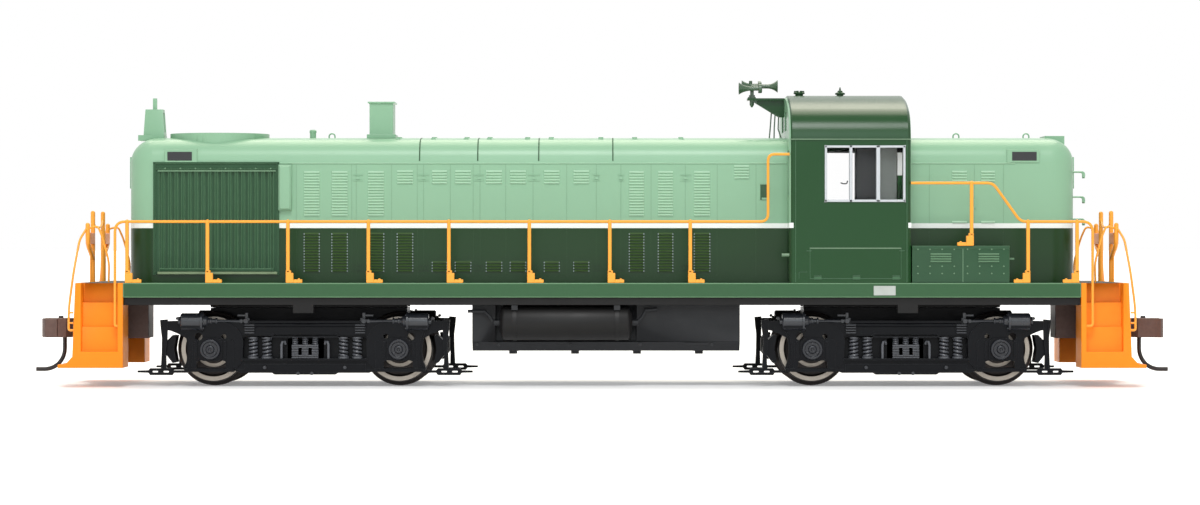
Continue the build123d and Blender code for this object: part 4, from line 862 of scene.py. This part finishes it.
# The side panes, then an upper and a corner pane in each end wall.
panes = [(38.8, 52.4, 16.85, 17.15, 32.4, 41.8)]
panes += [(x - 0.2, x + 0.2) + span for x in (33.0, 53.1)
          for span in ((1.6, 7.6, 44.9, 48.3), (12.3, 16.1, 33.4, 41.2))]
piece("cab_panes", both_sides([bars(panes)]), glass, ["cab_glass"])

wear(finish("interior_grey", (60, 64, 64), rough=0.6, mottle=0.2), "cab_interior")
cabinet_grey = finish("cabinet_grey", (46, 50, 52), rough=0.5, mottle=0.9, mottle_size=0.25)
locker_grey = finish("locker_grey", (122, 128, 124), rough=0.6, mottle=0.15)
lit_glazing_edge = finish("glazing_edge_highlight", (244, 246, 244), rough=0.5, mottle=0.05)
cabinet_top = 42.15
piece("cab_cabinet", [bars([(44.4, 48.2, -13.0, -9.0, deck_top, cabinet_top),
                            (46.4, 48.2, -9.0, 13.0, deck_top, cabinet_top)])],
      cabinet_grey, ["cab_cabinets"], bevel=0.12)
piece("cab_locker", [slab(48.2, 51.5, -13.0, 13.0, deck_top, cabinet_top)],
      locker_grey, bevel=0.12)
# At the end walls' windows, the clear glazing's lit edge is a white slab: a painted highlight.
piece("cab_end_post", both_sides([slab(51.6, 52.45, 12.0, 13.0, 36.9, 40.9)]),
      lit_glazing_edge, bevel=0.05)
piece("cab_end_sill", both_sides([slab(51.6, 52.5, 12.0, 13.0, deck_top, 36.9)]),
      cab_green, bevel=0.05)
latch = tube(bend_round([(41.4, 16.75, 35.55), (41.9, 16.75, 35.35), (42.5, 16.75, 35.4),
                         (42.6, 16.75, 35.9)], (0.2, 0.2)), 0.1, 6)
piece("cab_window_latch", [mirrored(latch)], truck_black)

# The panel outlines and hinges, and the battery boxes' bevelled edges, take a lighter green:
# painted highlights.
panel_edge = finish("panel_edge", (62, 104, 70), rough=0.35, mottle=0.3, specular=0.35)
# The drip rail, the panel ridge and the rear pins are painted a pale green: their highlight.
highlit_ridge = finish("highlit_ridge", (112, 144, 112), rough=0.35, mottle=0.35, mottle_size=2)
stripe_white = finish("stripe_white", stripe_colour, rough=0.4, mottle=0.06)
hinges = (37.4, 44.1, 51.0)
panels = [on_side(cab_side, proud, rows) for proud, rows in (
    (0.07, [(36.0, 36.12, 18.9, 24.2), (51.8, 51.9, 18.9, 24.2), (36.0, 51.9, 18.85, 18.98),
            (34.1, 35.6, 20.0, 20.1), (34.1, 34.2, 18.9, 20.1), (33.5, 33.62, 18.3, 42.9),
            (52.8, 52.92, 18.3, 42.9)]),
    (0.14, [(x - 0.65, x + 0.65, 18.75, 19.3) for x in hinges]),
    (0.1, [(x - 0.65, x + 0.65, 19.4, 19.5) for x in hinges]),
    (0.12, [(x - 0.45, x + 0.45, 23.65, 23.8) for x in (35.9, 52.0)]))]
piece("cab_side_panels", both_sides(panels), panel_edge, bevel=0.03)
ridges = [on_side(cab_side, 0.07, [(36.0, 51.9, 24.08, 24.28)]),
          on_side(cab_side, 0.22, [(32.6, 53.5, 43.0, 43.17)])]
piece("cab_side_ridges", both_sides(ridges), highlit_ridge)
stripes = [(x0, x1, 17.0, 17.53, stripe_bottom, stripe_top + 0.05)
           for x0, x1 in ((32.46, 33.2), (53.1, 53.63))]
piece("cab_corner_stripes", both_sides([bars(stripes)]), stripe_white)
piece("cab_rear_pins", both_sides([disc((0, 16.6, 23.0), 0.3, 31.2, 32.6, 0, 12, 0.08)]),
      highlit_ridge)
# Two vents stand on the roof: one flat with six bolts, and one pointed.
flat_vent = [(51.3, 0), (51.3, 0.7), (51.65, 0.75), (51.7, 1.0), (51.95, 1.0), (52.05, 0.85),
             (52.05, 0)]
pointed_vent = [(51.3, 0), (51.3, 0.6), (51.55, 0.62), (51.6, 0.9), (51.85, 0.9), (52.0, 0.5),
                (52.25, 0.42), (52.35, 0.2), (52.9, 0.07), (52.95, 0)]
caps = [turned(flat_vent, (35.2, 0, 0), 2, 24), turned(pointed_vent, (42.5, 0, 0), 2, 24)]
caps += [disc((x, y, 0), 0.24, 52.0, 52.25, 2, 10)
         for x, y in round_line((35.2, 0), 0.68, 0, 300, 6)]
piece("cab_roof_vents", caps, cab_green, ["cab_vent_caps"])

# ---------------------------------------------------------------- horn
# Three trumpets turned with flared bells and round diaphragm chambers, one facing forward
# and two back, on a yoke whose post is bolted through the bracket.
horn_green = finish("horn_green", (74, 100, 76), rough=0.25, mottle=0.3, mottle_size=0.6,
                    specular=0.5)
chamber_x, horn_post, throat = 28.2, 26.75, 0.38
trumpets = []
# Columns: the mouth's X, place across, height, the mouth's radius. A trumpet keeps the
# throat's radius for 0.4 of its length, then flares by a power of the share that is left.
for mouth, across, height, bell in ((31.35, 0.0, 53.05, 1.17), (25.0, 1.5, 53.25, 1.0),
                                    (24.35, -1.5, 52.6, 1.13)):
    share = np.linspace(0, 1, 18)
    flare = throat + (bell - throat) * (np.maximum(share - 0.4, 0) / 0.6) ** 2.2
    outside = np.stack(((mouth - chamber_x) * share, flare), 1)
    inside = outside[::-1][:8] * (1, 0.86)
    inside[:, 0] -= np.sign(mouth - chamber_x) * 0.04
    profile = np.concatenate(([(0, 0)], outside, inside, [(inside[-1, 0], 0)]))
    trumpets += [turned(profile, (chamber_x, across, height), 0, 28),
                 disc((0, across, height), 0.82, chamber_x - 0.3, chamber_x + 0.3, 0, 24, 0.1)]
# The yoke: post, cross arm and foot, the arm to the front trumpet, a nut and a drain.
trumpets += [bars([(26.45, 27.1, -0.4, 0.4, 50.85, 52.9), (26.4, 27.1, -1.5, 1.5, 52.6, 53.1),
                   (26.05, 27.45, -0.6, 0.6, 50.85, 51.15),
                   (26.25, 27.3, -0.5, 0.5, 51.1, 51.5)]),
             tube([(26.7, 0, 52.9), (chamber_x, 0, 53.05)], throat, 12),
             disc((26.6, 1.5, 0), 0.3, 53.4, 54.15, 2, 14, 0.08),
             disc((28.15, 0, 0), 0.28, 51.85, 52.5, 2, 14, 0.08)]
piece("horn_trumpets", trumpets, horn_green, ["horn"], bevel=0.04)
bolt = [(49.3, 0), (49.3, 0.12), (49.75, 0.4), (50.6, 0.4), (50.6, 0)]
under_horn = [turned(bolt, (horn_post, 0, 0), 2, 16),
              prism([(25.85, 50.88), (27.6, 50.88), (27.6, 49.9)], -0.5, 0.5)]
under_horn += [tube(pipe, 0.12, 6) for pipe in (
    [(30.3, 0.9, 48.6), (30.1, 0.9, 45.8), (29.9, 0.9, 43.6)],
    [(30.9, -0.3, 48.2), (30.75, -0.3, 45.8), (30.7, -0.3, 43.6)],
    [(31.5, -0.9, 47.8), (31.4, -0.9, 45.4), (32.0, -0.9, 43.6)])]
piece("horn_pipes", under_horn, horn_green)

# ---------------------------------------------------------------- battery boxes
# Riveted boxes beside the short hood, moulded in dark green, each with two louvred doors and
# a latch between them.
box_green = finish("box_green", (44, 82, 54), rough=0.35, mottle=0.2, mottle_size=3,
                   grain=0.2, specular=0.3)
softened("battery_boxes", box_green, 0.12, panel_edge)
box_side = 17.05
# The rivets, louvre lips and latch bar are painted a lighter green as their highlights.
details = [disc((x, 0, z), 0.14, box_side - 0.02, box_side + 0.14, 1, 8)
           for x in np.append(np.arange(54.8, 62.0, 2.1), np.arange(63.4, 70.6, 2.1))
           for z in (24.0, 21.05, 19.8)]
details += [prism([(box_side, z), (box_side + 0.22, z + 0.08), (box_side, z + 0.3)], x0, x1, 0)
            for x0, x1 in ((57.0, 60.6), (65.3, 68.9)) for z in 21.75 + 0.42 * np.arange(4)]
details += [on_side(box_side, 0.08, [(62.55, 62.67, 18.3, 24.1)]),
            slab(70.6, 71.9, 13.6, 13.9, 22.2, 22.5)]
piece("battery_box_details", both_sides(details), highlit_green)

# ---------------------------------------------------------------- railings
# Thin orange mouldings: round handrails on flat stanchions with stepped feet, and at each
# end two tall and two short posts with plates, a chain and grab wires down to the pilot.
rail_orange = finish("railing_orange", (255, 168, 48), rough=0.4, mottle=0.06, grain=0.15,
                     coat=0.1)
rail_y, rail_z, foot_z = 17.15, 28.8, 10.7
cab_rail_z, short_rail_z = 40.5, 35.5
# Each route's corners, then how far from each inner corner its bend begins.
routes = (([(-84.05, rail_y, foot_z), (-84.5, rail_y, foot_z), (-84.5, rail_y, rail_z),
            (28.8, rail_y, rail_z), (28.8, rail_y, cab_rail_z), (32.5, rail_y, cab_rail_z)],
           (0.3, 1.8, 1.4, 1.2)),
          ([(53.6, rail_y, short_rail_z), (67.8, rail_y, short_rail_z), (72.6, rail_y, rail_z),
            (85.1, rail_y, rail_z), (85.1, rail_y, foot_z), (84.05, rail_y, foot_z)],
           (1.0, 1.0, 1.8, 0.5)))
wires = [tube(bend_round(points, bends), 0.24, 10) for points, bends in routes]
# Rows: X, the way its toe points, the foot's height, the rail's height.
posts = [(x, 1, deck_top, rail_z) for x in np.linspace(-82.4, 15.3, 8)]
posts += [(x, -1, deck_top, rail_z) for x in (73.9, 82.4)]
posts.append((64.1, -1, 24.6, short_rail_z))
knob = [(-0.36, 0), (-0.3, 0.28), (0, 0.38), (0.3, 0.28), (0.36, 0)]
wires += [turned(knob, (x, rail_y, top), 1, 14) for x, _, _, top in posts]
piece("handrail_wires", both_sides(wires), rail_orange, ["side_handrails"])
stanchions = []
for x, toe, foot, top in posts:
    # A flat post in a stepped socket, whose toe lies along the deck with a pin through it.
    rows = [(-0.31, 0.31, foot + 1.8, top - 0.15), (-0.38, 0.95, foot, foot + 1.75),
            (-0.38, 0.55, foot + 1.7, foot + 2.2), (0.9, 2.5, foot, foot + 0.62),
            (1.7, 2.1, foot + 0.5, foot + 0.8)]
    stanchions += [slab(*sorted((x + toe * x0, x + toe * x1)), rail_y - 0.3, rail_y + 0.3, z0,
                        z1) for x0, x1, z0, z1 in rows]
piece("stanchion_posts", both_sides(stanchions), rail_orange, ["stanchions"],
      bevel=0.12)

post_x, tall_y, short_y = 90.0, 6.0, 12.0
grab_x, grab_y = 92.55, 17.0
grab = [(post_x, short_y, 27.95), (91.2, 13.4, 25.7), (91.8, 16.4, 20.0),
        (grab_x, grab_y, 13.65), (grab_x, grab_y, 9.95), (91.7, grab_y, 9.95)]
inner = [(post_x, short_y, 27.6), (88.2, 12.3, 28.1), (87.3, 12.6, 26.0), (86.1, 13.0, 21.6),
         (86.2, 13.0, deck_top)]
stay = [(post_x, tall_y, 22.25), (post_x, short_y, 24.9), (post_x, short_y, 28.35)]
end_forms = [tube(bend_round(grab, (0.9, 1.8, 1.8, 0.35)), 0.2, 10),
             tube(bend_round(inner, (0.7, 0.8, 1.2)), 0.18, 8),
             tube(bend_round(stay, (1.5,)), 0.4, 12),
             tube([(post_x, tall_y, deck_top), (post_x, tall_y, 30.5)], 0.4, 12),
             tube([(post_x, 8.4, deck_top), (post_x, 8.4, 23.3)], 0.18, 8),
             turned([(28.2, 0.4), (28.45, 0.36), (28.6, 0.2), (28.65, 0)],
                    (post_x, short_y, 0), 2, 12),
             turned([(30.3, 0.4), (30.6, 0.36), (30.75, 0.2), (30.8, 0)],
                    (post_x, tall_y, 0), 2, 12)]
end_forms += [tube([(grab_x, grab_y, z), (91.75, grab_y, z)], 0.16, 8) for z in (11.2, 13.0)]
# The chain sags between the tall posts: its height is 27.9 + 1.65 * (share of half-way)^4.
share = np.linspace(-1, 1, 25)
chain = np.stack((np.full(25, post_x), tall_y * share, 27.9 + 1.65 * share ** 4), 1)
end_forms = both_sides(end_forms) + [tube(chain, 0.2, 8)]
piece("end_railings", both_sides(end_forms, 0), rail_orange, ["end_rails"],
      sharp=50)
plate_orange = finish("plate_orange", (255, 164, 106), rough=0.5, mottle=0.1)
end_plate = slab(post_x - 0.42, post_x + 0.42, tall_y + 0.2, short_y - 0.2, 24.9, 26.9)
piece("end_railing_plates", both_sides(both_sides([end_plate]), 0),
      plate_orange, bevel=0.1)

# ---------------------------------------------------------------- hood end fittings
# Wire grab irons up the short hood's end, and the dark moulded stand for the cables that let
# two engines work together; both are pushed into holes in the hood.
rungs = [tube(bend_round([(83.1, 8.6, z), (84.9, 8.6, z), (84.9, 8.6, z - 1.0),
                          (84.9, 6.6, z - 1.0), (84.9, 6.6, z), (83.1, 6.6, z)],
                         (0.5, 0.3, 0.3, 0.5)), 0.14, 8) for z in (37.6, 33.2, 29.3)]
piece("hood_end_grabs", both_sides(rungs), roof_green)
stand = [disc((84.1, 9.4, 0), 0.42, 23.4, 28.4, 2, 12, 0.1),
         bars([(82.9, 84.3, 9.0, 9.8, 24.6, 25.2), (82.9, 84.3, 9.0, 9.8, 27.2, 27.8),
               (83.9, 84.7, 9.1, 9.7, 23.9, 24.4)])]
piece("multiple_unit_stand", stand, truck_black, bevel=0.06)

# ---------------------------------------------------------------- floor, light and camera
# A pale floor that runs to the horizon, a white surround, and broad soft lamps above.
def looked_at(tree):
    """The largest of three marks: a ray from the camera, from a gloss or through glass."""
    rays = tree.nodes.new("ShaderNodeLightPath")
    largest = rays.outputs["Is Camera Ray"]
    for other in ("Is Glossy Ray", "Is Transmission Ray"):
        largest = added(tree, "Math", "Value", {0: largest, 1: rays.outputs[other]},
                        operation="MAXIMUM")
    return largest


floor_mesh = bpy.data.meshes.new("floor")
floor_mesh.from_pydata([(-8, -2, 0), (8, -2, 0), (8, 14, 0), (-8, 14, 0)], [], [(0, 1, 2, 3)])
floor = bpy.data.objects.new("floor", floor_mesh)
bpy.context.scene.collection.objects.link(floor)
floor_white = bpy.data.materials.new("floor_white")
floor_white.use_nodes = True
tree = floor_white.node_tree
# The floor glows more the further it lies from the model, until it is the surround's white.
away = added(tree, "VectorMath", "Value", {0: added(tree, "TexCoord", "Object")},
             operation="LENGTH")
fade = added(tree, "MapRange", "Result", {"Value": away, "From Min": 0.12, "From Max": 0.7,
                                          "To Min": 0.24, "To Max": 0.7})
feed(tree, tree.nodes["Principled BSDF"], {
    "Base Color": (0.93, 0.93, 0.93, 1), "Roughness": 0.6, "Emission Color": (1, 1, 1, 1),
    "Emission Strength": added(tree, "Math", "Value", {0: looked_at(tree), 1: fade},
                               operation="MULTIPLY")})
floor_mesh.materials.append(floor_white)

world = bpy.data.worlds.new("white_surround")
world.use_nodes = True
bpy.context.scene.world = world
tree = world.node_tree
ambient = 0.5
strength = added(tree, "Math", "Value", {0: looked_at(tree), 1: 1 - ambient, 2: ambient},
                 operation="MULTIPLY_ADD")
feed(tree, tree.nodes["Background"], {"Color": (1, 1, 1, 1), "Strength": strength})

# Rows: name, place, width, power in watts, colour. Each lamp aims at the model's middle.
middle = np.array((0, 0, 0.03))
warm, plain, cool = (1.0, 0.93, 0.78), (1.0, 1.0, 1.0), (0.86, 0.96, 1.0)
for name, spot, width, power, tint in (
        ("overhead", (0.0, 0.33, 0.62), 0.6, 4.0, warm),
        ("front_high", (0.0, -0.5, 0.64), 0.26, 3.0, plain),
        ("front_low", (0.0, -0.68, 0.27), 0.3, 0.8, cool)):
    data = bpy.data.lights.new(name, "AREA")
    data.size = width
    data.energy = power
    data.color = tint
    lamp = bpy.data.objects.new(name, data)
    bpy.context.scene.collection.objects.link(lamp)
    lamp.location = spot
    heading = middle - spot
    lamp.rotation_euler = (math.acos(-heading[2] / np.linalg.norm(heading)), 0,
                           math.atan2(heading[1], heading[0]) - math.pi / 2)

view = bpy.data.cameras.new("camera")
view.sensor_width = 36
view.lens = 100.8
view.shift_y = -0.00625
camera = bpy.data.objects.new("camera", view)
camera.location = (-0.000357, -0.6, 0.02474)
camera.rotation_euler = (math.pi / 2, 0, 0)
bpy.context.scene.collection.objects.link(camera)
bpy.context.scene.camera = camera
bpy.context.scene.view_settings.view_transform = "Standard"
